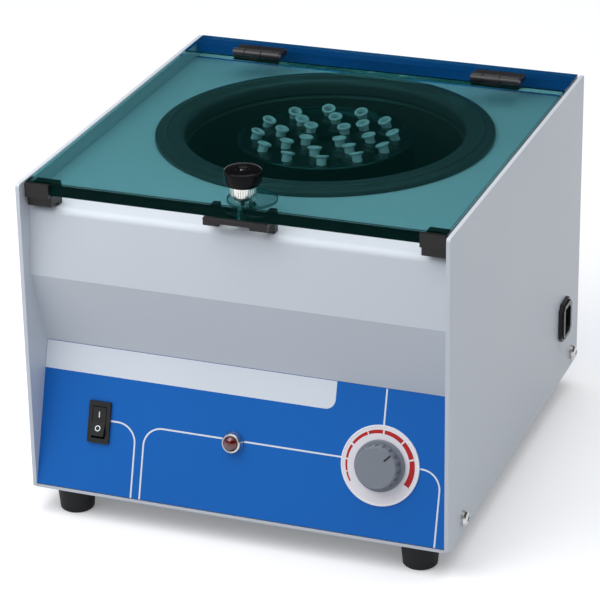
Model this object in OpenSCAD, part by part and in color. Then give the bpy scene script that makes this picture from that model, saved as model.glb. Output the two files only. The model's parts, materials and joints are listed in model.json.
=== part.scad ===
// Bench centrifuge for finding the fat in milk: folded steel casing, hinged clear lid, deep
// bowl and a rotor with 24 leaning cups. Sizes in mm, Z up, front towards -Y, floor at Z = 0.

/* [Casing] */
// Overall width over the two side panels
body_width = 340; // [300:5:400]
// Overall depth of the side panels
body_depth = 366; // [340:2:420]
// Height of the top edge of the side panels above the floor
panel_top = 276.5; // [260:0.5:320]
// Height of the bottom edge of the side panels above the floor
panel_bottom = 22; // [16:1:32]
// Thickness of a side panel
panel_thick = 3; // [2:0.5:5]
// Height of the top of the deck above the floor
deck_z = 254; // [240:1:290]
// Thickness of the folded sheet metal
sheet = 2; // [1.5:0.25:3]

/* [Front] */
// How far the upright front band stands behind the side panels' front edges, at its top
band_setback = 16; // [10:1:30]
// How far the front band leans forward down to its lower bend
band_lean = 4.5; // [0:0.5:8]
// Height of the lower bend of the front band
bend_z = 199; // [180:1:215]
// How far the crease over the control panel stands behind the side panels' front edges
crease_setback = 33.5; // [25:0.5:45]
// Height of the crease over the control panel
crease_z = 135.5; // [120:0.5:150]
// Height of the lower edge of the control panel
control_bottom_z = 25.5; // [24.5:0.5:32]

/* [Bowl and rotor] */
// How far the rotor axis stands behind the middle of the casing
axis_y = 28; // [18:1:30]
// Outer radius of the black rim on the deck
rim_radius = 135; // [128:1:138]
// Radius of the opening at the rim
mouth_radius = 113; // [106:1:115]
// Height of the rim above the deck
rim_height = 6; // [4:0.5:8]
// Height of the inside of the bowl's floor above the foot plane
bowl_floor_z = 150; // [140:1:175]
// Radius of the rotor
rotor_radius = 76; // [74:1:90]
// Height of the rotor's flat top above the foot plane
rotor_top_z = 251; // [240:0.5:253]
// Number of cups in the outer ring
outer_cups = 16; // [8:1:18]
// Number of cups in the inner ring
inner_cups = 7; // [3:1:8]
// Radius of the outer ring, measured at the cups' mouths
outer_ring = 57; // [52:1:58]
// Radius of the inner ring, measured at the cups' mouths
inner_ring = 28.5; // [24:0.5:32]
// Lean of the outer cups towards the axis, in degrees
outer_lean = 22; // [0:1:25]
// Lean of the inner cups towards the axis, in degrees
inner_lean = 14; // [0:1:20]
// Radius of the hole in a cup
cup_bore = 4.2; // [3.5:0.1:4.6]
// Length of a cup
cup_length = 30; // [24:1:32]

/* [Lid and lock] */
// Thickness of the clear lid
lid_thick = 10; // [8:0.5:12]
// Gap between the lid and each side panel
lid_gap = 1.5; // [1:0.25:4]
// Length of the fixed clear strip behind the lid
strip_length = 41.3; // [36:0.1:60]
// Distance of each hinge from the middle
hinge_x = 100; // [60:1:130]
// Width of a hinge
hinge_width = 45; // [30:1:60]
// Distance of the lock's axis from the middle
lock_x = 3; // [0:1:10]
// Radius of the lock's black cap
cap_radius = 14.2; // [12:0.1:17]
// Height of the lock's black cap
cap_height = 20; // [14:0.5:26]

/* [Controls] */
// Distance of the rocker switch from the middle, to the left
switch_x = 117.7; // [100:0.1:130]
// Distance of the pilot lamp from the middle, to the left
lamp_x = 6.9; // [0:0.1:40]
// Distance of the speed dial from the middle, to the right
dial_x = 111.5; // [90:0.5:125]
// Distance of the controls' centre line down the panel from the crease
control_row = 59; // [50:0.5:70]
// Side of the square dial plate
dial_side = 61.5; // [50:0.5:70]
// Radius of the speed knob's skirt
knob_radius = 19.8; // [15:0.1:24]
// Height of the speed knob over the dial plate
knob_height = 11.8; // [9:0.1:18]

/* [Hidden] */

// Clearances that the fits depend on
run_clear = 0.05;
part_clear = 0.3;
cup_clear = 0.15;

// Main planes of the casing
inner_x = body_width / 2 - panel_thick;
front_y = -body_depth / 2;
back_y = body_depth / 2;
rear_wall_y = back_y - 3;
band_top_y = front_y + band_setback;
bend_y = band_top_y - band_lean;
crease_y = front_y + crease_setback;
control_bottom_y = front_y + 0.8;
base_top_z = panel_bottom + 2.5;
deck_under_z = deck_z - sheet;
band_bend_r = 6;
ledge_y = band_top_y + 15;
ledge_top_z = deck_z + 13.4;
ledge_front_y = back_y - 15;

// Control panel: tilt from upright and length along its face
panel_tilt = atan((crease_y - control_bottom_y) / (crease_z - control_bottom_z));
panel_length = norm([crease_y - control_bottom_y, crease_z - control_bottom_z]);

// Lid, strip and hinge
lid_under_z = ledge_top_z;
lid_top_z = lid_under_z + lid_thick;
lid_half = inner_x - lid_gap;
lid_front_y = front_y + 8;
strip_back_y = rear_wall_y - 0.5;
strip_front_y = strip_back_y - strip_length;
knuckle_r = 3.4;
pin_r = 1.5;
pin_y = strip_front_y - 1.7;
pin_z = lid_top_z + knuckle_r + 0.4;
lid_back_y = pin_y - 1.5;
knuckle_left = 0.25 * hinge_width;
knuckle_mid = 0.35 * hinge_width;

// Lock
lock_y = lid_front_y + 18;
stud_r = 4;
collar_r = 10;
collar_h = 9;
cap_z = lid_top_z + collar_h;
tongue_z = deck_z + 1.4;
tongue_thick = 2.2;
tongue_reach = 17;
strike_bar_z = tongue_z + tongue_thick + 0.6;
strike_front_y = lid_front_y - 3;
corner_w = 19.5;
rest_top_z = lid_under_z - 2;

// Bowl, rotor and motor
bowl_wall = 2.5;
bowl_r = mouth_radius - 3;
shelf_z = deck_z - 7;
rotor_foot_z = rotor_top_z - 46;
cup_body = cup_bore + 0.75;
cup_flange = cup_bore + 1.95;
cup_hole = cup_body + cup_clear;
cup_proud = 7;
shaft_r = 8;
shaft_top_z = rotor_top_z - 21;
screw_head_z = shaft_top_z + 4;
motor_r = 45;
plate_top_z = bowl_floor_z - 15;
plate_thick = 4;
motor_top_z = plate_top_z - plate_thick;
motor_foot_z = motor_top_z - 80;
pillar_reach = 46;
damper_h = 10;

// Screw heads and the inlet stand out equally on the two sides
side_proud = 4.6;
screw_front_y = front_y + 37;
screw_back_y = back_y - 19;
screw_z = panel_bottom + 12;
inlet_y = back_y - 49;
inlet_z = 78;
foot_x = body_width / 2 - 28;
foot_y = body_depth / 2 - 20;

// Places its children on the control panel: x, up the face from the crease, out of the face
module on_panel() {
    translate([0, crease_y, crease_z])
        rotate([90 - panel_tilt, 0, 0])
            children();
}

// Places its children at a control: distance from the middle, on the controls' centre line
module at_control(x) {
    on_panel()
        translate([x, -control_row, 0])
            children();
}

// Places its children with the extrusion running along X and the sketch in Y and Z
module along_x(x0) {
    translate([x0, 0, 0])
        rotate([90, 0, 90])
            children();
}

// Square plate with rounded corners, centred, standing on its back face
module rounded_plate(w, h, r, t) {
    linear_extrude(t)
        union() {
            square([w - 2 * r, h], center = true);
            square([w, h - 2 * r], center = true);
            for (sx = [-1, 1], sy = [-1, 1])
                translate([sx * (w / 2 - r), sy * (h / 2 - r)])
                    circle(r, $fn = 48);
        }
}

// Pan head screw: head stands on Z = 0, shank points down
module pan_screw(head_r, head_h, shank_r, length) {
    difference() {
        union() {
            rotate_extrude($fn = 64)
                polygon([[0, 0], [head_r, 0], [head_r, head_h * 0.45], [head_r * 0.82, head_h * 0.8],
                         [head_r * 0.5, head_h], [0, head_h]]);
            translate([0, 0, -length])
                cylinder(r = shank_r, h = length + 0.01, $fn = 48);
        }
        for (a = [0, 90])
            rotate([0, 0, a])
                translate([-head_r * 0.5, -head_r * 0.1, head_h * 0.45])
                    cube([head_r, head_r * 0.2, head_h]);
    }
}

// Sketch of a bent sheet: the outer line is moved back by the thickness along one direction
module bent_sheet(line, back) {
    polygon(concat(line, [for (i = [len(line) - 1:-1:0]) line[i] + back[i]]));
}

// Folded base: floor, side flanges for the panel screws and ventilation slots
module base_pan() {
    slot_w = 4;
    color([0.80, 0.83, 0.88])
        difference() {
            union() {
                translate([-inner_x, front_y + 1, panel_bottom])
                    cube([2 * inner_x, rear_wall_y - front_y - 1, base_top_z - panel_bottom]);
                for (s = [-1, 1])
                    translate([s * (inner_x - 1.25) - 1.25, front_y + 12, base_top_z - 0.01])
                        cube([2.5, rear_wall_y - front_y - 16, 22]);
            }
            for (i = [-4:4], s = [-1, 1])
                translate([s * 105 - 20, axis_y - 16 + i * 11, panel_bottom - 1])
                    cube([40, slot_w, 5]);
            for (x = [-foot_x, foot_x], y = [-foot_y, foot_y])
                translate([x, y, panel_bottom - 1])
                    cylinder(r = 3 + part_clear, h = 5, $fn = 48);
            for (x = [-1, 1], y = [-1, 1])
                translate([x * pillar_reach, axis_y + y * pillar_reach, panel_bottom - 1])
                    cylinder(r = 3 + part_clear, h = 5, $fn = 48);
            for (s = [-1, 1], y = [screw_front_y, screw_back_y])
                translate([s * inner_x, y, screw_z])
                    rotate([0, 90, 0])
                        cylinder(r = 3 + part_clear, h = 8, center = true, $fn = 48);
        }
}

// Four round rubber feet with a recess for the bolt head
module feet() {
    color([0.05, 0.05, 0.06])
        for (x = [-foot_x, foot_x], y = [-foot_y, foot_y])
            translate([x, y, 0])
                rotate_extrude($fn = 96)
                    polygon([[3 + part_clear, 8], [7, 8], [7, 0], [12.4, 0], [13.4, 1], [15.2, 20.5],
                             [14.6, panel_bottom], [3 + part_clear, panel_bottom]]);
}

// Bolts that hold the feet, with a nut on the base
module foot_bolts() {
    color([0.62, 0.63, 0.65])
        for (x = [-foot_x, foot_x], y = [-foot_y, foot_y])
            translate([x, y, 0]) {
                translate([0, 0, 4])
                    cylinder(r = 5.5, h = 4, $fn = 6);
                translate([0, 0, 7.9])
                    cylinder(r = 3, h = base_top_z + 2, $fn = 48);
                translate([0, 0, base_top_z])
                    cylinder(r = 5.5, h = 5, $fn = 6);
            }
}

// Flat side panel with slightly rounded corners and the two screw holes
module side_panel(x0) {
    r = 2.5;
    difference() {
        along_x(x0)
            translate([0, (panel_top + panel_bottom) / 2, 0])
                rounded_plate(body_depth, panel_top - panel_bottom, r, panel_thick);
        for (y = [screw_front_y, screw_back_y])
            translate([x0 - 1, y, screw_z])
                rotate([0, 90, 0])
                    cylinder(r = 3 + part_clear, h = panel_thick + 2, $fn = 48);
    }
}

module left_panel() {
    color([0.80, 0.83, 0.88])
        side_panel(-body_width / 2);
}

// The right panel also carries the power inlet
module right_panel() {
    color([0.80, 0.83, 0.88])
        difference() {
            side_panel(inner_x);
            translate([inner_x - 1, inlet_y - 11, inlet_z - 14])
                cube([panel_thick + 2, 22, 28]);
        }
}

// Screws through the side panels into the base
module side_screws() {
    color([0.66, 0.67, 0.69])
        for (s = [-1, 1], y = [screw_front_y, screw_back_y])
            translate([s * body_width / 2, y, screw_z])
                rotate([0, s * 90, 0])
                    pan_screw(6, side_proud, 3, panel_thick + 6);
}

// Blue rear cover: wall with louvre slots, ledge under the clear strip and its front lip
module rear_cover() {
    w = inner_x;
    color([0.16, 0.27, 0.55])
        difference() {
            along_x(-w)
                linear_extrude(2 * w)
                    polygon([[rear_wall_y, base_top_z], [rear_wall_y, ledge_top_z],
                             [ledge_front_y, ledge_top_z], [ledge_front_y, deck_z],
                             [ledge_front_y + sheet, deck_z],
                             [ledge_front_y + sheet, ledge_top_z - sheet],
                             [rear_wall_y - sheet, ledge_top_z - sheet],
                             [rear_wall_y - sheet, base_top_z]]);
            for (side = [-1, 1], row = [0:7])
                translate([side * 75 - 40, rear_wall_y - 5, 70 + row * 12])
                    cube([80, 10, 4.5]);
            for (s = [-1, 1], z = [44, 230])
                translate([s * 152, rear_wall_y, z])
                    rotate([90, 0, 0])
                        cylinder(r = 2 + part_clear, h = 10, center = true, $fn = 48);
        }
}

// Screws of the rear cover
module rear_screws() {
    color([0.66, 0.67, 0.69])
        for (s = [-1, 1], z = [44, 230])
            translate([s * 152, rear_wall_y, z])
                rotate([-90, 0, 0])
                    pan_screw(4, 2.6, 2, 8);
}

// Front fascia: rounded top edge, upright band, then the sheet slopes back to the crease
module front_fascia() {
    steps = 8;
    arc_y = band_top_y + band_bend_r;
    arc_z = deck_z - band_bend_r;
    arc = [for (i = [0:steps]) [arc_y - band_bend_r * sin(90 * i / steps),
                                arc_z + band_bend_r * cos(90 * i / steps)]];
    inner = band_bend_r - sheet;
    arc_in = [for (i = [steps:-1:0]) [arc_y - inner * sin(90 * i / steps),
                                      arc_z + inner * cos(90 * i / steps)]];
    color([0.80, 0.83, 0.88])
        along_x(-inner_x)
            linear_extrude(2 * inner_x)
                polygon(concat([[ledge_y, deck_z]], arc, [[bend_y, bend_z], [crease_y, crease_z],
                        [crease_y + sheet + 0.4, crease_z + 0.6], [bend_y + sheet + 0.3, bend_z]],
                        arc_in, [[ledge_y, deck_under_z]]));
}

// Deck plate with the round cut-out for the bowl
module top_plate() {
    color([0.80, 0.83, 0.88])
        difference() {
            translate([-inner_x, ledge_y, deck_under_z])
                cube([2 * inner_x, rear_wall_y - sheet - ledge_y, sheet]);
            translate([0, axis_y, deck_under_z - 1])
                cylinder(r = mouth_radius + bowl_wall + 1, h = sheet + 2, $fn = 180);
        }
}

// Blue control panel with the cut-outs for switch, lamp and dial
module control_panel() {
    color([0.16, 0.27, 0.55])
        difference() {
            on_panel()
                translate([-inner_x, -panel_length, -sheet])
                    cube([2 * inner_x, panel_length - 0.2, sheet]);
            at_control(-switch_x)
                cube([14.4, 28.4, 20], center = true);
            at_control(-lamp_x)
                cylinder(r = 6 + part_clear, h = 20, center = true, $fn = 64);
            at_control(dial_x)
                cylinder(r = 5 + part_clear, h = 20, center = true, $fn = 64);
        }
}

// Deep bowl: mouth, shallow shelf, wall, rounded bottom corner and a collar round the shaft
module bowl() {
    r = 12;
    steps = 6;
    inside = [for (i = [0:steps]) [bowl_r - r + r * cos(90 * i / steps),
                                   bowl_floor_z + r - r * sin(90 * i / steps)]];
    ro = r + bowl_wall;
    outside = [for (i = [steps:-1:0]) [bowl_r - r + ro * cos(90 * i / steps),
                                       bowl_floor_z + r - ro * sin(90 * i / steps)]];
    color([0.06, 0.07, 0.07])
        translate([0, axis_y, 0])
            rotate_extrude($fn = 180)
                polygon(concat([[mouth_radius, deck_z + 1], [mouth_radius, shelf_z],
                                [bowl_r, shelf_z - 3]], inside,
                               [[22, bowl_floor_z], [22, bowl_floor_z + 4], [17, bowl_floor_z + 4],
                                [17, bowl_floor_z - bowl_wall]], outside,
                               [[bowl_r + bowl_wall, shelf_z - 4],
                                [mouth_radius + bowl_wall, shelf_z - 1],
                                [mouth_radius + bowl_wall, deck_z + 1]]));
}

// Moulded rim ring with two stepped bands, lying on the deck and over the bowl's edge
module bowl_rim() {
    top = deck_z + rim_height;
    w = rim_radius - mouth_radius;
    color([0.07, 0.08, 0.08])
        translate([0, axis_y, 0])
            rotate_extrude($fn = 180)
                polygon([[mouth_radius + bowl_wall, deck_z + 1], [mouth_radius + bowl_wall, deck_z],
                         [rim_radius, deck_z], [rim_radius, top - 3.4],
                         [rim_radius - 0.6, top - 2.4], [rim_radius - 1.6, top - 2],
                         [rim_radius - w * 0.33, top - 1.6], [rim_radius - w * 0.36, top - 0.4],
                         [rim_radius - w * 0.40, top], [rim_radius - w * 0.46, top],
                         [rim_radius - w * 0.50, top - 0.7], [mouth_radius + 4, top - 0.9],
                         [mouth_radius + 1.6, top - 1.4], [mouth_radius + 0.4, top - 2.6],
                         [mouth_radius, top - 4], [mouth_radius, deck_z + 1]]);
}

// Rubber gland where the shaft passes the bowl's floor
module shaft_gland() {
    color([0.05, 0.05, 0.06])
        translate([0, axis_y, 0])
            rotate_extrude($fn = 96)
                polygon([[shaft_r + 1, bowl_floor_z - 4], [16.9, bowl_floor_z - 4],
                         [16.9, bowl_floor_z + 4.5], [14, bowl_floor_z + 8],
                         [shaft_r + 1, bowl_floor_z + 8]]);
}

// Places its children at one cup: origin at the mouth, Z out of the cup
module at_cup(ring, lean, angle) {
    translate([0, axis_y, rotor_top_z])
        rotate([0, 0, angle])
            translate([ring, 0, cup_proud * cos(lean)])
                rotate([0, -lean, 0])
                    children();
}

// Places its children at every cup of the two leaning rings
module at_ring_cups() {
    for (i = [0:outer_cups - 1])
        at_cup(outer_ring, outer_lean, 17 + i * 360 / outer_cups)
            children();
    for (i = [0:inner_cups - 1])
        at_cup(inner_ring, inner_lean, 74.5 + i * 360 / inner_cups)
            children();
}

// Angle rotor: dished rim, conical underside, hub on the shaft and the slanting bores
module rotor() {
    top = rotor_top_z;
    color([0.06, 0.07, 0.07])
        difference() {
            translate([0, axis_y, 0])
                rotate_extrude($fn = 144)
                    polygon([[0, shaft_top_z], [shaft_r + run_clear, shaft_top_z],
                             [shaft_r + run_clear, rotor_foot_z], [20, rotor_foot_z],
                             [22, rotor_foot_z + 8], [54, rotor_foot_z + 12],
                             [rotor_radius - 2, rotor_foot_z + 22], [rotor_radius, rotor_foot_z + 25],
                             [rotor_radius, top + 0.8], [rotor_radius - 0.5, top + 1.5],
                             [rotor_radius - 1.3, top + 1.8], [rotor_radius - 2.1, top + 1.5],
                             [rotor_radius - 3, top], [0, top]]);
            at_ring_cups()
                translate([0, 0, -cup_length - 0.2])
                    cylinder(r = cup_hole, h = cup_length + 10, $fn = 48);
            translate([0, axis_y, screw_head_z])
                cylinder(r = cup_hole, h = 30, $fn = 48);
            translate([0, axis_y, shaft_top_z - 1])
                cylinder(r = 3 + part_clear, h = 10, $fn = 48);
        }
}

// One flanged cup, mouth at the origin, closed and rounded at the bottom
module cup(length) {
    tip = cup_body * 0.55;
    rotate_extrude($fn = 48)
        polygon([[cup_bore, -0.3], [cup_bore + 0.5, 0], [cup_flange - 0.3, 0], [cup_flange, -0.3],
                 [cup_flange, -1.2], [cup_flange - 0.4, -1.5], [cup_body, -1.8],
                 [cup_body, -length + 4], [cup_body - 0.6, -length + 1.4], [tip, -length],
                 [0, -length], [0, -length + 1], [tip - 0.4, -length + 1],
                 [cup_bore - 0.5, -length + 2.4], [cup_bore, -length + 4.4]]);
}

// The 24 cups: two leaning rings and the short one in the middle
module tube_cups() {
    color([0.86, 0.92, 0.92])
        union() {
            at_ring_cups()
                cup(cup_length);
            translate([0, axis_y, rotor_top_z + cup_proud])
                cup(rotor_top_z + cup_proud - screw_head_z - 5.4);
        }
}

// Socket head screw that clamps the rotor on the shaft, under the middle cup
module rotor_screw() {
    color([0.55, 0.56, 0.58])
        translate([0, axis_y, screw_head_z])
            difference() {
                union() {
                    cylinder(r = 4.9, h = 5, $fn = 64);
                    translate([0, 0, -18])
                        cylinder(r = 3, h = 18.01, $fn = 48);
                }
                translate([0, 0, 2])
                    cylinder(r = 2.9, h = 4, $fn = 6);
            }
}

// Drive shaft from the motor to the rotor, with a shoulder under the hub
module drive_shaft() {
    color([0.70, 0.71, 0.73])
        translate([0, axis_y, 0])
            difference() {
                union() {
                    translate([0, 0, motor_top_z - 20])
                        cylinder(r = shaft_r, h = shaft_top_z - motor_top_z + 20, $fn = 96);
                    translate([0, 0, rotor_foot_z - 6])
                        cylinder(r = 12, h = 6, $fn = 96);
                }
                translate([0, 0, shaft_top_z - 15])
                    cylinder(r = 3 + run_clear, h = 16, $fn = 48);
            }
}

// Closed motor housing with end caps, cooling ribs and the shaft's bore in its nose
module motor_housing() {
    color([0.30, 0.31, 0.33])
        translate([0, axis_y, motor_foot_z])
            difference() {
                union() {
                    rotate_extrude($fn = 96)
                        polygon([[0, 0], [motor_r - 12, 0], [motor_r - 4, 4], [motor_r - 2, 14],
                                 [motor_r - 5, 14], [motor_r - 5, 66], [motor_r - 2, 66],
                                 [motor_r - 2, 76], [motor_r - 6, 80], [0, 80]]);
                    for (i = [0:23])
                        rotate([0, 0, i * 15])
                            translate([motor_r - 7, -0.8, 13])
                                cube([4.2, 1.6, 54]);
                }
                translate([0, 0, 59])
                    cylinder(r = shaft_r + run_clear, h = 30, $fn = 96);
                for (i = [0:3])
                    rotate([0, 0, 45 + i * 90])
                        translate([30, 0, 66])
                            cylinder(r = 2.5 + run_clear, h = 20, $fn = 48);
            }
}

// Square motor plate with rounded corners
module motor_plate() {
    color([0.62, 0.63, 0.65])
        translate([0, axis_y, motor_top_z])
            difference() {
                rounded_plate(2 * pillar_reach + 28, 2 * pillar_reach + 28, 14, plate_thick);
                translate([0, 0, -1])
                    cylinder(r = 18, h = plate_thick + 2, $fn = 96);
                for (i = [0:3])
                    rotate([0, 0, 45 + i * 90])
                        translate([30, 0, -1])
                            cylinder(r = 2.5 + part_clear, h = plate_thick + 2, $fn = 48);
                for (x = [-1, 1], y = [-1, 1])
                    translate([x * pillar_reach, y * pillar_reach, -1])
                        cylinder(r = 3 + part_clear, h = plate_thick + 2, $fn = 48);
            }
}

// Screws of the motor and nuts of the dampers
module motor_screws() {
    color([0.66, 0.67, 0.69])
        translate([0, axis_y, plate_top_z])
            union() {
                for (i = [0:3])
                    rotate([0, 0, 45 + i * 90])
                        translate([30, 0, 0])
                            pan_screw(4.6, 3.4, 2.5, 14);
                for (x = [-1, 1], y = [-1, 1])
                    translate([x * pillar_reach, y * pillar_reach, 0])
                        difference() {
                            cylinder(r = 5.5, h = 5, $fn = 6);
                            translate([0, 0, -1])
                                cylinder(r = 3 + run_clear, h = 7, $fn = 48);
                        }
            }
}

// Pillars between the base and the dampers, with studs at both ends
module motor_pillars() {
    top = motor_top_z - damper_h;
    color([0.70, 0.71, 0.73])
        for (x = [-1, 1], y = [-1, 1])
            translate([x * pillar_reach, axis_y + y * pillar_reach, 0]) {
                translate([0, 0, base_top_z])
                    cylinder(r = 7, h = top - base_top_z, $fn = 64);
                translate([0, 0, panel_bottom + 0.5])
                    cylinder(r = 3, h = 4, $fn = 48);
                translate([0, 0, top - 1])
                    cylinder(r = 3, h = plate_top_z - top + 5, $fn = 48);
            }
}

// Waisted rubber dampers under the motor plate
module motor_dampers() {
    z0 = motor_top_z - damper_h;
    color([0.05, 0.05, 0.06])
        for (x = [-1, 1], y = [-1, 1])
            translate([x * pillar_reach, axis_y + y * pillar_reach, z0])
                rotate_extrude($fn = 64)
                    polygon([[3 + part_clear, 0], [10, 0], [10, 2], [8, damper_h / 2],
                             [10, damper_h - 2], [10, damper_h], [3 + part_clear, damper_h]]);
}

// Clear lid with eased top edges and the hole for the lock's stud
module lid() {
    e = 0.8;
    depth = lid_back_y - lid_front_y;
    color([0.45, 0.75, 0.72, 0.4])
        difference() {
            union() {
                translate([-lid_half, lid_front_y, lid_under_z])
                    cube([2 * lid_half, depth, lid_thick - e]);
                translate([-lid_half + e, lid_front_y + e, lid_under_z])
                    cube([2 * (lid_half - e), depth - e, lid_thick]);
            }
            translate([lock_x, lock_y, lid_under_z - 1])
                cylinder(r = stud_r + run_clear, h = lid_thick + 2, $fn = 64);
        }
}

// Clear strip fixed on the rear ledge
module rear_strip() {
    color([0.45, 0.75, 0.72, 0.4])
        translate([-lid_half, strip_front_y, lid_under_z])
            cube([2 * lid_half, strip_back_y - strip_front_y, lid_thick]);
}

// One barrel section of a hinge, with the pin's hole
module knuckle(x0, w) {
    translate([x0, pin_y, pin_z])
        rotate([0, 90, 0])
            cylinder(r = knuckle_r, h = w, $fn = 64);
}

// Room for the pin along a whole hinge
module pin_hole(c) {
    translate([c - hinge_width / 2 - 1, pin_y, pin_z])
        rotate([0, 90, 0])
            cylinder(r = pin_r + run_clear, h = hinge_width + 2, $fn = 48);
}

// Fixed leaves: flat on the strip, with the two outer barrel sections
module hinge_fixed_leaves() {
    leaf_t = 1.6;
    gap = 0.4;
    color([0.09, 0.09, 0.11])
        for (c = [-hinge_x, hinge_x])
            difference() {
                union() {
                    translate([c - hinge_width / 2, pin_y, lid_top_z])
                        cube([hinge_width, 17, leaf_t]);
                    knuckle(c - hinge_width / 2, knuckle_left - gap);
                    knuckle(c - hinge_width / 2 + knuckle_left + knuckle_mid + gap,
                            hinge_width - knuckle_left - knuckle_mid - gap);
                    translate([c - hinge_width / 2, pin_y, lid_top_z])
                        cube([hinge_width, 2.4, 3]);
                }
                translate([c - hinge_width / 2 + knuckle_left - gap, pin_y - 5, lid_top_z - 1])
                    cube([knuckle_mid + 2 * gap, 5 + knuckle_r + 0.6, 12]);
                translate([c - hinge_width / 2 - 1, pin_y - 3, lid_top_z - 1])
                    cube([hinge_width + 2, 3, 1.4]);
                pin_hole(c);
            }
}

// Lid leaves: upright on the lid's rear edge, with the middle barrel section
module hinge_lid_leaves() {
    gap = 0.4;
    leaf_t = 1.4;
    color([0.09, 0.09, 0.11])
        for (c = [-hinge_x, hinge_x])
            difference() {
                union() {
                    translate([c - hinge_width / 2, lid_back_y, lid_under_z + 1])
                        cube([hinge_width, leaf_t, lid_thick - 1.2]);
                    knuckle(c - hinge_width / 2 + knuckle_left + gap, knuckle_mid - 2 * gap);
                    translate([c - hinge_width / 2 + knuckle_left + gap, lid_back_y,
                               lid_top_z - 1])
                        cube([knuckle_mid - 2 * gap, leaf_t, 3.5]);
                }
                pin_hole(c);
            }
}

// Hinge pins
module hinge_pins() {
    color([0.60, 0.61, 0.63])
        for (c = [-hinge_x, hinge_x])
            translate([c - hinge_width / 2 - 0.4, pin_y, pin_z])
                rotate([0, 90, 0])
                    cylinder(r = pin_r, h = hinge_width + 0.8, $fn = 48);
}

// Black lock cap with rounded edges and a seat for its screw
module lock_cap() {
    h = cap_height;
    r = cap_radius;
    color([0.06, 0.05, 0.06])
        translate([lock_x, lock_y, cap_z])
            rotate_extrude($fn = 96)
                polygon([[stud_r + 0.1, 0], [r - 2.4, 0], [r - 1, 0.5], [r - 0.3, 1.4], [r, 2.6],
                         [r, h - 3.2], [r - 0.4, h - 1.8], [r - 1.4, h - 0.7], [r - 3, h - 0.1],
                         [r - 5, h], [5.2, h], [4.4, h - 1], [4.4, h - 4.4], [stud_r + 0.1, h - 4.4]]);
}

// Knurled collar under the cap
module lock_collar() {
    h = collar_h - 0.3;
    color([0.78, 0.78, 0.78])
        translate([lock_x, lock_y, lid_top_z + 0.3])
            difference() {
                rotate_extrude($fn = 96)
                    polygon([[stud_r + 0.1, 0], [collar_r - 2.2, 0], [collar_r - 0.7, 1.5],
                             [collar_r, 2], [collar_r, h - 0.8], [collar_r - 0.6, h],
                             [stud_r + 0.1, h]]);
                for (i = [0:35])
                    rotate([0, 0, i * 10])
                        translate([collar_r + 0.15, 0, 2.4])
                            cylinder(r = 0.45, h = h - 3.8, $fn = 4);
            }
}

// Screw that holds the cap on the stud
module lock_screw() {
    color([0.72, 0.72, 0.74])
        translate([lock_x, lock_y, cap_z + cap_height - 4.4])
            difference() {
                cylinder(r = 4.3, h = 3.8, $fn = 64);
                translate([0, 0, 1.8])
                    cylinder(r = 2.3, h = 4, $fn = 6);
            }
}

// Stud through the lid, with the flat that drives the tongue
module lock_stud() {
    color([0.72, 0.72, 0.74])
        translate([lock_x, lock_y, tongue_z])
            cylinder(r = stud_r, h = cap_z + cap_height - 4.4 - tongue_z, $fn = 64);
}

// Round bearing plate under the lid, off centre to the stud
module lock_plate() {
    color([0.35, 0.55, 0.52, 0.6])
        difference() {
            translate([lock_x + 3, lock_y + 10, lid_under_z - 2])
                cylinder(r = 19, h = 2, $fn = 96);
            translate([lock_x, lock_y, lid_under_z - 3])
                cylinder(r = stud_r + part_clear, h = 4, $fn = 64);
        }
}

// Tongue on the stud: points back when the lid is free, turns under the strike to lock
module lock_tongue() {
    w = 5.5;
    color([0.66, 0.67, 0.69])
        translate([lock_x, lock_y, tongue_z])
            difference() {
                union() {
                    cylinder(r = 7.5, h = tongue_thick, $fn = 64);
                    translate([-w, 0, 0])
                        cube([2 * w, tongue_reach - w, tongue_thick]);
                    translate([0, tongue_reach - w, 0])
                        cylinder(r = w, h = tongue_thick, $fn = 64);
                }
                translate([0, 0, -1])
                    cylinder(r = stud_r + 0.02, h = 5, $fn = 64);
            }
}

// Black strike on the front edge: a bar with an open slot under it, carried by two legs
module strike() {
    left = lock_x - 29;
    right = lock_x + 25;
    leg_back = strike_front_y + 6;
    bar_back = strike_front_y + 12;
    foot_z = deck_z - 7;
    color([0.11, 0.10, 0.11])
        union() {
            translate([left, strike_front_y, strike_bar_z])
                cube([right - left, bar_back - strike_front_y, 5]);
            for (leg = [[left, 12], [right - 16, 16]]) {
                translate([leg[0], strike_front_y, foot_z])
                    cube([leg[1], leg_back - strike_front_y, strike_bar_z - foot_z + 0.01]);
                translate([leg[0], strike_front_y, foot_z])
                    cube([leg[1], band_top_y - strike_front_y - 0.15, 5.5]);
            }
        }
}

// Black clips on the lid's front corners, each with a round tab under the lid
module lid_clips() {
    x0 = lid_half - corner_w - 0.5;
    color([0.07, 0.07, 0.08])
        for (s = [-1, 1]) {
            translate([s * (x0 + corner_w / 2) - corner_w / 2, strike_front_y, rest_top_z])
                cube([corner_w, lid_front_y - strike_front_y, lid_thick + 1]);
            translate([s * (x0 + corner_w / 2), lid_front_y, rest_top_z])
                difference() {
                    cylinder(r = corner_w / 2, h = 2, $fn = 64);
                    translate([-20, -40, -1])
                        cube([40, 40, 4]);
                }
        }
}

// Black rests on the deck's front corners that the clips come down on
module corner_rests() {
    x0 = lid_half - corner_w - 0.5;
    depth = 18;
    color([0.07, 0.07, 0.08])
        for (s = [-1, 1])
            translate([s * (x0 + corner_w / 2) - corner_w / 2, lid_front_y + 1, deck_z])
                difference() {
                    cube([corner_w, depth, rest_top_z - deck_z]);
                    translate([3, 3, 2])
                        cube([corner_w - 6, depth - 6, 1]);
                }
}

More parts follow.
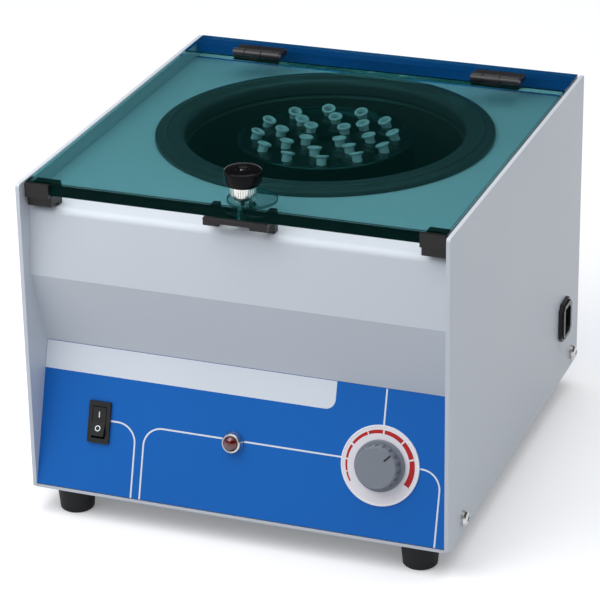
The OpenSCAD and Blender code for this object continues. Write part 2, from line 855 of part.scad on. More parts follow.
// Frame of the rocker switch: flange, walls and the closed body behind the panel
module switch_frame() {
    color([0.06, 0.06, 0.07])
        at_control(-switch_x)
            difference() {
                union() {
                    rounded_plate(18, 33, 1.2, 2.2);
                    translate([-7, -14, -24])
                        cube([14, 28, 24.01]);
                    for (i = [-1, 1])
                        translate([i * 4, 0, -30])
                            cube([0.8, 5, 13], center = true);
                }
                translate([-5.8, -12.6, -9])
                    cube([11.6, 25.2, 14]);
            }
}

// Rocker with a shallow valley in its face, pressed in at the top
module switch_rocker() {
    color([0.07, 0.07, 0.08])
        at_control(-switch_x)
            translate([0, 0, -2.5])
                rotate([-8, 0, 0])
                    translate([-5.4, 0, 0])
                        rotate([90, 0, 90])
                            linear_extrude(10.8)
                                polygon([[-11.2, 6.4], [0, 4.6], [11.2, 6.4], [11.5, 5.6],
                                         [11, 1], [4, -3.6], [-4, -3.6], [-11, 1],
                                         [-11.5, 5.6]]);
}

// Conical metal bezel of the pilot lamp
module lamp_bezel() {
    color([0.72, 0.72, 0.72])
        at_control(-lamp_x)
            rotate_extrude($fn = 96)
                polygon([[6.05, 0], [8.7, 0], [8.7, 1.2], [7.4, 5.4], [6.8, 6], [6.05, 6]]);
}

// Domed red lens
module lamp_lens() {
    steps = 8;
    r = 5.7;
    dome = [for (i = [0:steps]) [r * cos(90 * i / steps), 5.2 + 4 * sin(90 * i / steps)]];
    color([0.45, 0.05, 0.06])
        at_control(-lamp_x)
            rotate_extrude($fn = 64)
                polygon(concat([[0, 0.5], [r, 0.5]], dome));
}

// Lamp body and its nut behind the panel
module lamp_body() {
    color([0.55, 0.56, 0.58])
        at_control(-lamp_x)
            union() {
                translate([0, 0, -24])
                    cylinder(r = 6, h = 24.5, $fn = 64);
                translate([0, 0, -sheet - 4])
                    cylinder(r = 9.5, h = 4, $fn = 6);
                for (i = [-1, 1])
                    translate([i * 2.5, 0, -28])
                        cube([0.8, 3, 9], center = true);
            }
}

// Square dial plate with a raised border
module dial_plate() {
    color([0.76, 0.78, 0.80])
        at_control(dial_x)
            difference() {
                rounded_plate(dial_side, dial_side, 1.5, 1.4);
                translate([0, 0, 1])
                    rounded_plate(dial_side - 3, dial_side - 3, 0.8, 2);
                translate([0, 0, -1])
                    cylinder(r = 5 + part_clear, h = 4, $fn = 64);
            }
}

// Speed knob: skirt, fluted grip, flat face and the spindle's hole
module speed_knob() {
    top = 1 + knob_height;
    grip = knob_radius - 2.6;
    color([0.35, 0.37, 0.40])
        at_control(dial_x)
            difference() {
                union() {
                    translate([0, 0, 1 + part_clear])
                        rotate_extrude($fn = 96)
                            polygon([[0, 0], [knob_radius, 0], [knob_radius, 1.6],
                                     [knob_radius - 0.8, 2.4], [0, 2.4]]);
                    translate([0, 0, 3.6])
                        rotate_extrude($fn = 96)
                            polygon([[0, 0], [grip, 0], [grip - 0.8, top - 4.6],
                                     [grip - 1.8, top - 3.6], [0, top - 3.6]]);
                }
                for (i = [0:17])
                    rotate([0, 0, 35 + i * 20])
                        translate([grip + 0.5, 0, 4.4])
                            cylinder(r = 1.7, h = 20, $fn = 32);
                translate([0, 0, 1])
                    cylinder(r = 10.5, h = 4, $fn = 64);
                cylinder(r = 3 + run_clear, h = knob_height + 0.1, $fn = 48);
                rotate([0, 0, -45])
                    translate([-0.7, grip - 8.5, top - 0.8])
                        cube([1.4, 12, 2]);
            }
}

// Black pointer set in the knob's face
module knob_pointer() {
    top = 1 + knob_height;
    grip = knob_radius - 2.6;
    color([0.04, 0.04, 0.04])
        at_control(dial_x)
            rotate([0, 0, -45])
                translate([-0.65, grip - 8.4, top - 0.8])
                    cube([1.3, 6.2, 1]);
}

// Speed control behind the panel: body, bush, nut on the plate and three tags
module speed_pot() {
    color([0.55, 0.56, 0.58])
        at_control(dial_x)
            difference() {
                union() {
                    translate([0, 0, -16])
                        cylinder(r = 12, h = 16 - sheet, $fn = 64);
                    translate([0, 0, -sheet - 0.01])
                        cylinder(r = 5, h = sheet + 3.2, $fn = 64);
                    translate([0, 0, 1])
                        cylinder(r = 7, h = 2.4, $fn = 6);
                    for (i = [-1:1])
                        translate([i * 5 - 0.8, -17, -9])
                            cube([1.6, 7, 0.8]);
                }
                translate([0, 0, -12])
                    cylinder(r = 3 + run_clear, h = 30, $fn = 48);
            }
}

// Spindle that the knob turns
module pot_spindle() {
    color([0.70, 0.71, 0.73])
        at_control(dial_x)
            translate([0, 0, -11.5])
                cylinder(r = 3, h = 11.5 + knob_height, $fn = 48);
}

// Power inlet: flange with cut corners, raised rim and a deep socket
module inlet_body() {
    w = 28;
    h = 34;
    c = 5;
    module face(w, h, c) {
        polygon([[-w / 2 + c, -h / 2], [w / 2 - c, -h / 2], [w / 2, -h / 2 + c], [w / 2, h / 2 - c],
                 [w / 2 - c, h / 2], [-w / 2 + c, h / 2], [-w / 2, h / 2 - c],
                 [-w / 2, -h / 2 + c]]);
    }
    color([0.06, 0.06, 0.07])
        translate([body_width / 2, inlet_y, inlet_z])
            rotate([90, 0, 90])
                difference() {
                    union() {
                        linear_extrude(3)
                            face(w, h, c);
                        linear_extrude(side_proud)
                            face(w - 4, h - 4, c - 1);
                        translate([-10.7, -13.7, -19])
                            cube([21.4, 27.4, 19.01]);
                    }
                    translate([0, 0, -15])
                        linear_extrude(30)
                            polygon([[-8.2, -12], [4.5, -12], [8.2, -8.3], [8.2, 8.3], [4.5, 12],
                                     [-8.2, 12]]);
                }
}

// Three blades in the inlet
module inlet_pins() {
    color([0.72, 0.72, 0.74])
        translate([body_width / 2, inlet_y, inlet_z])
            rotate([90, 0, 90])
                for (p = [[-1.5, -7], [2.5, 0], [-1.5, 7]])
                    translate([p[0] - 2, p[1] - 1, -15])
                        cube([4, 2, 14]);
}

// Speed control board on the base
module control_board() {
    color([0.10, 0.30, 0.18])
        translate([-150, front_y + 38, base_top_z + 8])
            difference() {
                cube([110, 62, 1.6]);
                for (x = [5, 105], y = [5, 57])
                    translate([x, y, -1])
                        cylinder(r = 1.6, h = 4, $fn = 32);
            }
}

// Transformer, capacitors and the finned heat sink on the board
module board_parts() {
    z0 = base_top_z + 9.6;
    color([0.20, 0.20, 0.22])
        translate([-150, front_y + 38, z0])
            union() {
                translate([12, 12, 0])
                    cube([36, 32, 28]);
                for (x = [60, 76])
                    translate([x, 18, 0])
                        cylinder(r = 6, h = 20, $fn = 48);
                translate([58, 34, 0])
                    cube([40, 4, 24]);
                for (i = [0:5])
                    translate([60 + i * 7, 37.9, 0])
                        cube([1.6, 10, 24]);
            }
}

// Spacers under the board
module board_spacers() {
    color([0.80, 0.80, 0.78])
        for (x = [5, 105], y = [5, 57])
            translate([x - 150, front_y + 38 + y, base_top_z])
                union() {
                    cylinder(r = 3.5, h = 8, $fn = 6);
                    cylinder(r = 1.5, h = 11, $fn = 32);
                }
}

base_pan();
feet();
foot_bolts();
left_panel();
right_panel();
side_screws();
rear_cover();
rear_screws();
front_fascia();
top_plate();
control_panel();
bowl();
bowl_rim();
shaft_gland();
rotor();
tube_cups();
rotor_screw();
drive_shaft();
motor_housing();
motor_plate();
motor_screws();
motor_pillars();
motor_dampers();
lid();
rear_strip();
hinge_fixed_leaves();
hinge_lid_leaves();
hinge_pins();
lock_cap();
lock_collar();
lock_screw();
lock_stud();
lock_plate();
lock_tongue();
strike();
lid_clips();
corner_rests();
switch_frame();
switch_rocker();
lamp_bezel();
lamp_lens();
lamp_body();
dial_plate();
speed_knob();
knob_pointer();
speed_pot();
pot_spindle();
inlet_body();
inlet_pins();
control_board();
board_parts();
board_spacers();
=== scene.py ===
"""Finishes and fine pieces of a bench centrifuge for the fat test of milk, round its frame."""

import json
from functools import cache, partial
from math import atan2, cos, hypot, pi, radians, sin

import bmesh
import bpy
from bpy.props import FloatProperty, FloatVectorProperty, PointerProperty
from bpy.types import NodeSocket, Operator, Panel, PropertyGroup
from mathutils import Matrix, Vector

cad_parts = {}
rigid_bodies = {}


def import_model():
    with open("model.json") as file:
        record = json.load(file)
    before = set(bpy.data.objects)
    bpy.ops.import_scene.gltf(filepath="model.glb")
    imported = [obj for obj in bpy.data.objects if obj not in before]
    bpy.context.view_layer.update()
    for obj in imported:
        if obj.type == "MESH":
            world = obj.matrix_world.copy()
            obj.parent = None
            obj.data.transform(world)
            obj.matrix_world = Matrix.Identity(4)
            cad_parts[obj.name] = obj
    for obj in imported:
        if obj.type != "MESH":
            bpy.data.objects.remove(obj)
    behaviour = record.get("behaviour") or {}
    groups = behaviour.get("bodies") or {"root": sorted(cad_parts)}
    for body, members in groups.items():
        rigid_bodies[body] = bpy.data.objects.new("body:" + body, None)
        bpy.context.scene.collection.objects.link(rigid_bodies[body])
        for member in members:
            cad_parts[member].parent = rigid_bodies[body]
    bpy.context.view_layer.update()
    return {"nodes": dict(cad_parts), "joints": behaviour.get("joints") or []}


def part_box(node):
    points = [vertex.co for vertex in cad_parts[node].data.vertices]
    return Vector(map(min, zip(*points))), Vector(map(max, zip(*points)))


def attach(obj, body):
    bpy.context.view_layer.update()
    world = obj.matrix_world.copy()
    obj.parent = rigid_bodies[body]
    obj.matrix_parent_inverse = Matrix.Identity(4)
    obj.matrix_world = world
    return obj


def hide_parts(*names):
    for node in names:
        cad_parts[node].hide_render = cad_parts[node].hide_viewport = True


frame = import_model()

bl_info = {
    "name": "Butterfat Centrifuge Finish",
    "version": (1, 0, 0),
    "blender": (4, 5, 0),
    "location": "View3D > Sidebar > Centrifuge",
    "description": "Finishes and fine pieces of a bench centrifuge with a clear lid",
    "category": "Object",
}

MM = 0.001
NODES = frame["nodes"]
JOINTS = {joint["name"]: joint for joint in frame["joints"]}

# The control panel's plane: its normal comes from the speed knob's joint, its top from the fascia
DIAL_CENTRE = Vector(JOINTS["speed_turn"]["pos_m"])
PANEL_NORMAL = Vector(JOINTS["speed_turn"]["axis"]).normalized()
PANEL_UP = Vector((1, 0, 0)).cross(-PANEL_NORMAL).normalized()
CREASE_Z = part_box("front_fascia")[0].z
CREASE = Vector((0, DIAL_CENTRE.y - (CREASE_Z - DIAL_CENTRE.z) * PANEL_NORMAL.z / PANEL_NORMAL.y,
                 CREASE_Z))
CONTROL_ROW = (CREASE - DIAL_CENTRE).dot(PANEL_UP)
PANEL_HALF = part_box("control_panel")[1].x

WHITE = (1, 1, 1)
ROOM_TINT = (0.96, 0.98, 1.0)
DUST_GREY = (0.55, 0.54, 0.52)
RUBBED_BLACK = (0.10, 0.10, 0.10)
SURFACE = ("Colour", "Roughness", "Height")     # what a finish's node group puts out


def node_centre(name):
    """Middle of a node's box at rest."""
    low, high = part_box(name)
    return (low + high) / 2


def srgb(*shown):
    """Colour for a socket from the 0 to 255 values that a screen shows."""
    levels = [value / 255 for value in shown]
    return tuple(level / 12.92 if level <= 0.04045 else ((level + 0.055) / 1.055) ** 2.4
                 for level in levels)


# Shader nodes and groups


def feed(tree, socket, value):
    """Links an output to a socket, or sets its number, vector or colour."""
    if isinstance(value, NodeSocket):
        tree.links.new(value, socket)
    elif value is not None:
        socket.default_value = (*value, 1)[:4] if socket.type == "RGBA" else value


def add_node(tree, kind, inputs=(), **settings):
    """Node with its settings made and its inputs fed, by their places or their labels."""
    node = tree.nodes.new("ShaderNode" + kind)
    for key, value in settings.items():
        setattr(node, key, value)
    for key, value in inputs.items() if isinstance(inputs, dict) else enumerate(inputs):
        feed(tree, node.inputs[key], value)
    return node


def set_inputs(tree, node, **values):
    """Sets or links a node's inputs. Underscores stand for spaces."""
    for label, value in values.items():
        feed(tree, node.inputs[label.replace("_", " ")], value)


def math_node(tree, operation, first, second=None, clamp=False):
    """Output of a Math node."""
    return add_node(tree, "Math", (first, second), operation=operation,
                    use_clamp=clamp).outputs[0]


def arithmetic(tree):
    """Functions that add, multiply and subtract in a tree."""
    return [partial(math_node, tree, way) for way in ("ADD", "MULTIPLY", "SUBTRACT")]


def remap(tree, value, low, high, out_low, out_high):
    """Output of a Map Range node with clamped ends."""
    return add_node(tree, "MapRange", {"Value": value, "From Min": low, "From Max": high,
                                       "To Min": out_low, "To Max": out_high}).outputs["Result"]


def mix_color(tree, factor, first, second):
    """Output of a Mix node for colours, whose sockets share labels and go by their places."""
    return add_node(tree, "Mix", {0: factor, 6: first, 7: second}, data_type="RGBA").outputs[2]


def noise(tree, place, scale, detail=2.0, roughness=0.5):
    """Factor of a noise texture at a place."""
    return add_node(tree, "TexNoise", {"Vector": place, "Scale": scale, "Detail": detail,
                                       "Roughness": roughness}).outputs["Fac"]


def object_place(tree):
    """Object coordinates."""
    return add_node(tree, "TexCoord").outputs["Object"]


def shade(tree, color, level):
    """Colour times a level."""
    return add_node(tree, "VectorMath", {0: color, "Scale": level},
                    operation="SCALE").outputs[0]


def new_group(name, outputs, **inputs):
    """Shader group with its sockets. Returns it, its given values and its output node.

    Underscores in an input's name stand for spaces.
    """
    group = bpy.data.node_groups.new(name, "ShaderNodeTree")
    for label, value in inputs.items():
        kind = "Float" if isinstance(value, float) else "Vector" if len(value) == 3 else "Color"
        group.interface.new_socket(name=label.replace("_", " "), in_out="INPUT",
                                   socket_type="NodeSocket" + kind).default_value = value
    for label in outputs:
        group.interface.new_socket(
            name=label, in_out="OUTPUT",
            socket_type="NodeSocketColor" if label == "Colour" else "NodeSocketFloat")
    given, result = (group.nodes.new("NodeGroup" + end) for end in ("Input", "Output"))
    return group, given.outputs, result


@cache
def grain_group():
    """Fine grain of paint or moulded plastic: an uneven colour, roughness and height."""
    group, given, result = new_group(
        "Surface Grain", SURFACE, Colour=(0.5, 0.5, 0.5, 1), Grain_Size=1400.0, Mottle=0.04,
        Roughness=0.4, Unevenness=0.06)
    add, times, less = arithmetic(group)
    place = object_place(group)
    fine = noise(group, place, given["Grain Size"], detail=3.0, roughness=0.6)
    broad = noise(group, place, 9.0, detail=4.0)
    both = add(times(fine, 0.6), times(broad, 0.4))
    swing = times(less(both, 0.5), times(given["Mottle"], 4.0))
    rough = times(less(broad, 0.5), times(given["Unevenness"], 4.0))
    set_inputs(group, result, Colour=shade(group, given["Colour"], add(swing, 1.0)),
               Roughness=add(given["Roughness"], rough, clamp=True), Height=fine)
    return group


@cache
def wear_group():
    """Where edges are rubbed brighter: a mask from a rounded normal, broken by noise."""
    group, given, result = new_group("Edge Wear", ("Mask",), Width=0.0006, Amount=0.5)
    times = arithmetic(group)[1]
    bevel = add_node(group, "Bevel", {"Radius": given["Width"]}, samples=4)
    normals = [node.outputs["Normal"] for node in (bevel, add_node(group, "NewGeometry"))]
    same = add_node(group, "VectorMath", normals, operation="DOT_PRODUCT").outputs["Value"]
    edge = remap(group, same, 0.75, 0.995, 1.0, 0.0)
    cloud = noise(group, object_place(group), 160.0, detail=5.0, roughness=0.7)
    broken = remap(group, cloud, 0.42, 0.62, 0.25, 1.0)
    set_inputs(group, result, Mask=times(times(edge, broken), given["Amount"], clamp=True))
    return group


@cache
def brushed_group():
    """Turned or brushed metal: fine level lines with an uneven colour and roughness."""
    group, given, result = new_group("Brushed Metal", SURFACE, Colour=(0.6, 0.6, 0.6, 1),
                                     Line_Scale=900.0, Roughness=0.25)
    add, times, less = arithmetic(group)
    place = object_place(group)
    drawn = add_node(group, "Mapping", {"Vector": place, "Scale": (0.05, 0.05, 1.0)})
    lines = noise(group, drawn.outputs["Vector"], given["Line Scale"], detail=3.0,
                  roughness=0.6)
    level = add(times(lines, 0.3), times(noise(group, place, 60.0, detail=3.0), 0.2))
    rough = times(less(lines, 0.5), 0.3)
    set_inputs(group, result, Colour=shade(group, given["Colour"], add(level, 0.75)),
               Roughness=add(given["Roughness"], rough, clamp=True), Height=lines)
    return group


@cache
def ring_group():
    """Even rings round an upright axis through Centre, on walls too, of uneven strength."""
    group, given, result = new_group("Turned Rings", ("Height",), Centre=(0.0, 0.0, 0.0),
                                     Spacing=0.001)
    add, times, _ = arithmetic(group)
    place = object_place(group)
    shift = add_node(group, "VectorMath", (place, given["Centre"]), operation="SUBTRACT")
    x, y, z = add_node(group, "SeparateXYZ", (shift.outputs[0],)).outputs
    reach = math_node(group, "SQRT", add(times(x, x), times(y, y)))
    turns = math_node(group, "DIVIDE", add(reach, z), given["Spacing"])
    wave = math_node(group, "SINE", times(turns, 2 * pi))
    strength = remap(group, noise(group, place, 35.0, detail=3.0), 0.3, 0.7, 0.2, 1.0)
    set_inputs(group, result, Height=times(add(times(wave, 0.5), 0.5), strength))
    return group


@cache
def dust_group():
    """Thin dust on faces that look up: a mask from the normal and two noises."""
    group, given, result = new_group("Settled Dust", ("Mask",), Amount=0.2)
    times = arithmetic(group)[1]
    normal = add_node(group, "NewGeometry").outputs["Normal"]
    up = add_node(group, "SeparateXYZ", (normal,)).outputs["Z"]
    place = object_place(group)
    cloud = remap(group, noise(group, place, 22.0, detail=5.0), 0.38, 0.66, 0.0, 1.0)
    facing = remap(group, up, 0.4, 0.95, 0.0, 1.0)
    grains = times(noise(group, place, 700.0), given["Amount"])
    set_inputs(group, result, Mask=times(times(facing, cloud), grains, clamp=True))
    return group


# Materials


def new_material(name):
    """Empty node material with its Principled shader and output joined. Returns all three."""
    material = bpy.data.materials.new(name)
    material.use_nodes = True
    tree = material.node_tree
    tree.nodes.clear()
    shader = add_node(tree, "BsdfPrincipled")
    add_node(tree, "OutputMaterial", (shader.outputs["BSDF"],))
    return material, tree, shader


def place_group(tree, maker, **values):
    """Outputs of a group placed in a tree, with its inputs set."""
    node = add_node(tree, "Group", node_tree=maker())
    set_inputs(tree, node, **values)
    return node.outputs


def bump(tree, shader, height, strength, distance):
    """Bump from a height socket into the shader's normal."""
    node = add_node(tree, "Bump", {"Strength": strength, "Distance": distance,
                                   "Height": height})
    set_inputs(tree, shader, Normal=node.outputs["Normal"])


def grained(name, color, size, mottle, roughness, unevenness):
    """Material with the grain's colour and roughness. Returns its parts and grain outputs."""
    material, tree, shader = new_material(name)
    grain = place_group(tree, grain_group, Colour=color, Grain_Size=size, Mottle=mottle,
                        Roughness=roughness, Unevenness=unevenness)
    set_inputs(tree, shader, Base_Color=grain["Colour"], Roughness=grain["Roughness"])
    return material, tree, shader, grain


def coated(name, color, grain_size=1500.0, mottle=0.03, roughness=0.4, gloss=0.5, relief=0.06,
           wear=0.2, dust=0.08, bare=(0.60, 0.62, 0.65), coat=0.0):
    """Paint, film or moulded plastic with its grain, rubbed edges and a little dust."""
    material, tree, shader, grain = grained(name, color, grain_size, mottle, roughness, 0.05)
    tone = grain["Colour"]
    if wear:
        rubbed = place_group(tree, wear_group, Width=0.5 * MM, Amount=wear)
        tone = mix_color(tree, rubbed["Mask"], tone, bare)
    if dust:
        settled = place_group(tree, dust_group, Amount=dust)
        tone = mix_color(tree, settled["Mask"], tone, DUST_GREY)
    set_inputs(tree, shader, Base_Color=tone, Specular_IOR_Level=gloss, Coat_Weight=coat,
               Coat_Roughness=0.05)
    bump(tree, shader, grain["Height"], relief, 0.2 * MM)
    return material


def printed(name, color, grain_size=2600.0, mottle=0.05, roughness=0.45, relief=0.05):
    """Fresh print: a coat without wear or dust."""
    return coated(name, color, grain_size, mottle, roughness, gloss=0.3, relief=relief,
                  wear=0.0, dust=0.0)


def machined(name, color, roughness=0.25, line_scale=900.0, relief=0.04):
    """Bright metal with fine machining lines."""
    material, tree, shader = new_material(name)
    lines = place_group(tree, brushed_group, Colour=color, Line_Scale=line_scale,
                        Roughness=roughness)
    set_inputs(tree, shader, Metallic=1.0, Base_Color=lines["Colour"],
               Roughness=lines["Roughness"])
    bump(tree, shader, lines["Height"], relief, 0.1 * MM)
    return material


def ringed(name, color, centre, spacing, roughness, gloss, relief):
    """Turned or spun surface: fine rings round an upright axis, over a faint grain, their crests
    painted lighter as painted sheen.
    """
    material, tree, shader, grain = grained(name, color, 900.0, 0.04, roughness, 0.06)
    rings = place_group(tree, ring_group, Centre=centre, Spacing=spacing)
    # The crests are painted lighter: real turning rings, with the sheen they catch painted into
    # the colour.
    crest_and_painted_sheen = tuple(value * 1.7 + 0.004 for value in color)
    tone = mix_color(tree, math_node(tree, "MULTIPLY", rings["Height"], 0.35),
                     grain["Colour"], crest_and_painted_sheen)
    set_inputs(tree, shader, Base_Color=tone, Specular_IOR_Level=gloss)
    bump(tree, shader, rings["Height"], relief, 0.08 * MM)
    return material


def clear_sheet(name, tint, density, gloss, painted_edge_glow):
    """Clear sheet: a tint deepens with the light's way in it, a faint painted glow lifts its edge.
    """
    material, tree, shader = new_material(name)
    grain = place_group(tree, grain_group, Colour=WHITE, Grain_Size=60.0, Mottle=0.0,
                        Roughness=0.0, Unevenness=0.0)
    # Painted glow: the sheet sends out a faint green light of its own, though it is no lamp.
    set_inputs(tree, shader, Base_Color=WHITE, Roughness=0.0, IOR=1.49,
               Specular_Tint=(gloss, gloss, gloss), Transmission_Weight=1.0,
               Emission_Color=(0.0, 0.9, 0.75), Emission_Strength=painted_edge_glow)
    bump(tree, shader, grain["Height"], 0.01, 0.05 * MM)
    inside = add_node(tree, "VolumeAbsorption", {"Color": tint, "Density": density})
    path = add_node(tree, "LightPath").outputs
    through = math_node(tree, "MAXIMUM", path["Is Shadow Ray"], path["Is Diffuse Ray"])
    straight = add_node(tree, "BsdfTransparent")
    choose = add_node(tree, "MixShader", (through, shader.outputs[0], straight.outputs[0]))
    output = next(node for node in tree.nodes if node.type == "OUTPUT_MATERIAL")
    set_inputs(tree, output, Surface=choose.outputs[0], Volume=inside.outputs[0])
    return material


def dark_rimmed_disc(name, box):
    """Nearly clear disc of faint dark teal that darkens towards its rim: painted shade."""
    material, tree, shader, _ = grained(name, (0.02, 0.12, 0.12), 800.0, 0.05, 0.2, 0.04)
    low, high = box
    radius = (high.x - low.x) / 2
    centre = ((low.x + high.x) / 2, (low.y + high.y) / 2, 0)
    flat = add_node(tree, "VectorMath", (object_place(tree), (1, 1, 0)), operation="MULTIPLY")
    reach = add_node(tree, "VectorMath", (flat.outputs[0], centre), operation="DISTANCE")
    # Painted shade: the alpha rises towards the rim, so the disc darkens there.
    rim = remap(tree, reach.outputs["Value"], radius - 0.9 * MM, radius - 0.3 * MM, 0.05, 0.7)
    set_inputs(tree, shader, Alpha=rim, Specular_IOR_Level=0.1)
    return material


def milky(name, color, clear):
    """Thin translucent plastic with faint clouds."""
    material, tree, shader, grain = grained(name, color, 700.0, 0.05, 0.25, 0.04)
    set_inputs(tree, shader, IOR=1.46, Transmission_Weight=clear)
    bump(tree, shader, grain["Height"], 0.03, 0.1 * MM)
    return material


def circuit_green(name):
    """Lacquered board: green lacquer over darker copper tracks and a grid of tinned pads."""
    material, tree, shader, grain = grained(name, (0.01, 0.13, 0.05), 1200.0, 0.04, 0.3, 0.05)
    place = object_place(tree)
    tracks = add_node(tree, "TexBrick", {"Vector": place, "Scale": 90.0, "Mortar Size": 0.06,
                                         "Color1": (0, 0, 0), "Color2": (0, 0, 0),
                                         "Mortar": WHITE})
    pads = add_node(tree, "TexVoronoi", {"Vector": place, "Scale": 220.0, "Randomness": 0.35})
    spot = remap(tree, pads.outputs["Distance"], 0.18, 0.22, 1.0, 0.0)
    tone = mix_color(tree, tracks.outputs["Color"], grain["Colour"], (0.03, 0.22, 0.08))
    set_inputs(tree, shader, Base_Color=mix_color(tree, spot, tone, (0.62, 0.60, 0.55)))
    bump(tree, shader, spot, 0.3, 0.1 * MM)
    return material


@cache
def print_white():
    """Fresh white print."""
    return printed("print_white", srgb(232, 236, 242), mottle=0.02, roughness=0.5,
                   relief=0.03)


@cache
def black_plastic():
    """Satin black plastic of the small fittings."""
    return coated("black_plastic", (0.011, 0.010, 0.011), grain_size=2400.0, mottle=0.06,
                  roughness=0.36, gloss=0.30, relief=0.10, wear=0.08, dust=0.05,
                  bare=RUBBED_BLACK)


def give(material, *names):
    """The material takes the place of every slot of these CAD nodes."""
    for name in names:
        mesh = NODES[name].data
        mesh.materials.clear()
        mesh.materials.append(material)


def round_edges(target, width, segments=2, angle=40):
    """Rounds an object's sharp edges a little, inwards."""
    bevel = target.modifiers.new("softened_edges", "BEVEL")
    bevel.width = width
    bevel.segments = segments
    bevel.limit_method = "ANGLE"
    bevel.angle_limit = radians(angle)


def soften(width, *names, **rounding):
    """Rounds the sharp edges of these CAD nodes a little."""
    for name in names:
        round_edges(NODES[name], width, **rounding)


# Stage


def direction(azimuth, elevation):
    """Unit vector towards a side and a height, in degrees."""
    a, e = radians(azimuth), radians(elevation)
    return Vector((sin(a) * cos(e), -cos(a) * cos(e), sin(e)))


def looked_at(tree):
    """1 for the camera, reflections and glass, 0 for the light that falls on the object."""
    path = add_node(tree, "LightPath").outputs
    return math_node(tree, "MAXIMUM", path["Is Camera Ray"],
                     math_node(tree, "MAXIMUM", path["Is Glossy Ray"],
                               path["Is Transmission Ray"]))


def stage_piece(name, points, faces, material):
    """Floor or card that isn't part of the object."""
    mesh = bpy.data.meshes.new(name)
    mesh.from_pydata(points, [], faces)
    mesh.materials.append(material)
    piece = bpy.data.objects.new(name, mesh)
    bpy.context.scene.collection.objects.link(piece)
    return piece


def add_lamp(name, kind, power, azimuth, elevation, distance, **shape):
    """Lamp aimed at the part from a side and a height."""
    data = bpy.data.lights.new(name, kind)
    for key, value in shape.items():
        setattr(data, key, value)
    data.energy = power
    lamp = bpy.data.objects.new(name, data)
    way = direction(azimuth, elevation)
    lamp.rotation_mode = "QUATERNION"
    lamp.rotation_quaternion = way.to_track_quat("Z", "Y")
    lamp.location = Vector((0, 0, 0.15)) + way * distance
    bpy.context.scene.collection.objects.link(lamp)


def make_room(scene, light):
    """World that is white where it is looked at, and an even light elsewhere."""
    world = bpy.data.worlds.new("white_room")
    world.use_nodes = True
    tree = world.node_tree
    tree.nodes.clear()
    felt = add_node(tree, "Background", {"Color": ROOM_TINT, "Strength": light})
    seen = add_node(tree, "Background", {"Color": WHITE})
    mix = add_node(tree, "MixShader", (looked_at(tree), felt.outputs[0], seen.outputs[0]))
    add_node(tree, "OutputWorld", (mix.outputs[0],))
    scene.world = world


def make_floor(glow):
    """Pale floor that keeps the object's shadow."""
    material, tree, shader = new_material("pale_floor")
    direct = looked_at(tree)
    set_inputs(tree, shader, Roughness=0.9, Specular_IOR_Level=0.0,
               Base_Color=mix_color(tree, direct, (0.45, 0.46, 0.48), (0.98, 0.98, 0.99)),
               Emission_Color=WHITE, Emission_Strength=math_node(tree, "MULTIPLY", direct, glow))
    half = 9.0
    stage_piece("floor", [(-half, -half, 0), (half, -half, 0), (half, half, 0),
                          (-half, half, 0)], [(0, 1, 2, 3)], material)


def make_card():
    """Dark ring that only reflections see. It keeps the lid's top clear of a white veil."""
    material, tree, shader = new_material("dark_card")
    set_inputs(tree, shader, Base_Color=(0.01, 0.01, 0.01), Roughness=1.0,
               Specular_IOR_Level=0.0)
    radius, steps, middle = 3.0, 48, 0.27
    rim = []
    for elevation in (10, 52):
        height = sin(radians(elevation))
        wide = (1 - height * height) ** 0.5 * radius
        rim += [(wide * cos(2 * pi * i / steps), wide * sin(2 * pi * i / steps),
                 middle + radius * height) for i in range(steps)]
    card = stage_piece("dark_surround", rim,
                       [(i, (i + 1) % steps, steps + (i + 1) % steps, steps + i)
                        for i in range(steps)], material)
    card.visible_camera = card.visible_diffuse = card.visible_shadow = False


def make_camera(scene, settings):
    """Camera at the photograph's angle, with its slight roll."""
    data = bpy.data.cameras.new("photo_camera")
    data.lens = settings.lens
    data.sensor_width = 36
    camera = bpy.data.objects.new("photo_camera", data)
    a, roll = radians(settings.azimuth), radians(settings.roll)
    back = direction(settings.azimuth, settings.elevation)
    right = Vector((cos(a), sin(a), 0))
    up = back.cross(right)
    rotation = Matrix((right * cos(roll) + up * sin(roll), up * cos(roll) - right * sin(roll),
                       back)).transposed()
    camera.matrix_world = Matrix.LocRotScale(
        Vector(settings.target) + back * settings.distance, rotation.to_quaternion(), None)
    scene.collection.objects.link(camera)
    scene.camera = camera


def make_stage(scene):
    """Room, floor, dark card for reflections, lamps and the camera."""
    settings = scene.centrifuge_stage
    scene.view_settings.view_transform = "Standard"
    make_room(scene, settings.room_light)
    make_floor(settings.floor_glow)
    make_card()
    add_lamp("key_lamp", "AREA", settings.key_light, settings.key_azimuth, elevation=50,
             distance=settings.key_distance, shape="SQUARE", size=0.8)
    add_lamp("top_lamp", "SUN", settings.top_light, azimuth=150, elevation=78, distance=2.0,
             angle=radians(40))
    make_camera(scene, settings)


# Making pieces


def panel_place(x, down, out=0.0):
    """Frame on the control panel: x across, down its face from the crease, out of it."""
    axes = Matrix((Vector((1, 0, 0)), PANEL_UP, PANEL_NORMAL)).transposed().to_4x4()
    spot = CREASE + Vector((x, 0, 0)) - PANEL_UP * down + PANEL_NORMAL * out
    return Matrix.Translation(spot) @ axes


def add_piece(name, mesh, body, material, slot, *instead, crisp=35, edge=None, **rounding):
    """Links a mesh as a piece that rides on a body, instead of CAD nodes where some are named.

    Edges bent by more than crisp degrees are shaded sharp, and edge is their rounding's width.
    """
    mesh.name = name
    mesh.materials.clear()
    mesh.materials.append(material)
    for face in mesh.polygons:
        face.use_smooth = True
    mesh.set_sharp_from_angle(angle=radians(crisp))
    piece = bpy.data.objects.new(name, mesh)
    bpy.context.scene.collection.objects.link(piece)
    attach(piece, body)
    if instead:
        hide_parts(*instead)
    if edge:
        round_edges(piece, edge, **rounding)


def mesh_of(shape):
    """Mesh of a bmesh, with its faces turned outwards."""
    bmesh.ops.recalc_face_normals(shape, faces=shape.faces)
    mesh = bpy.data.meshes.new("shape")
    shape.to_mesh(mesh)
    shape.free()
    return mesh


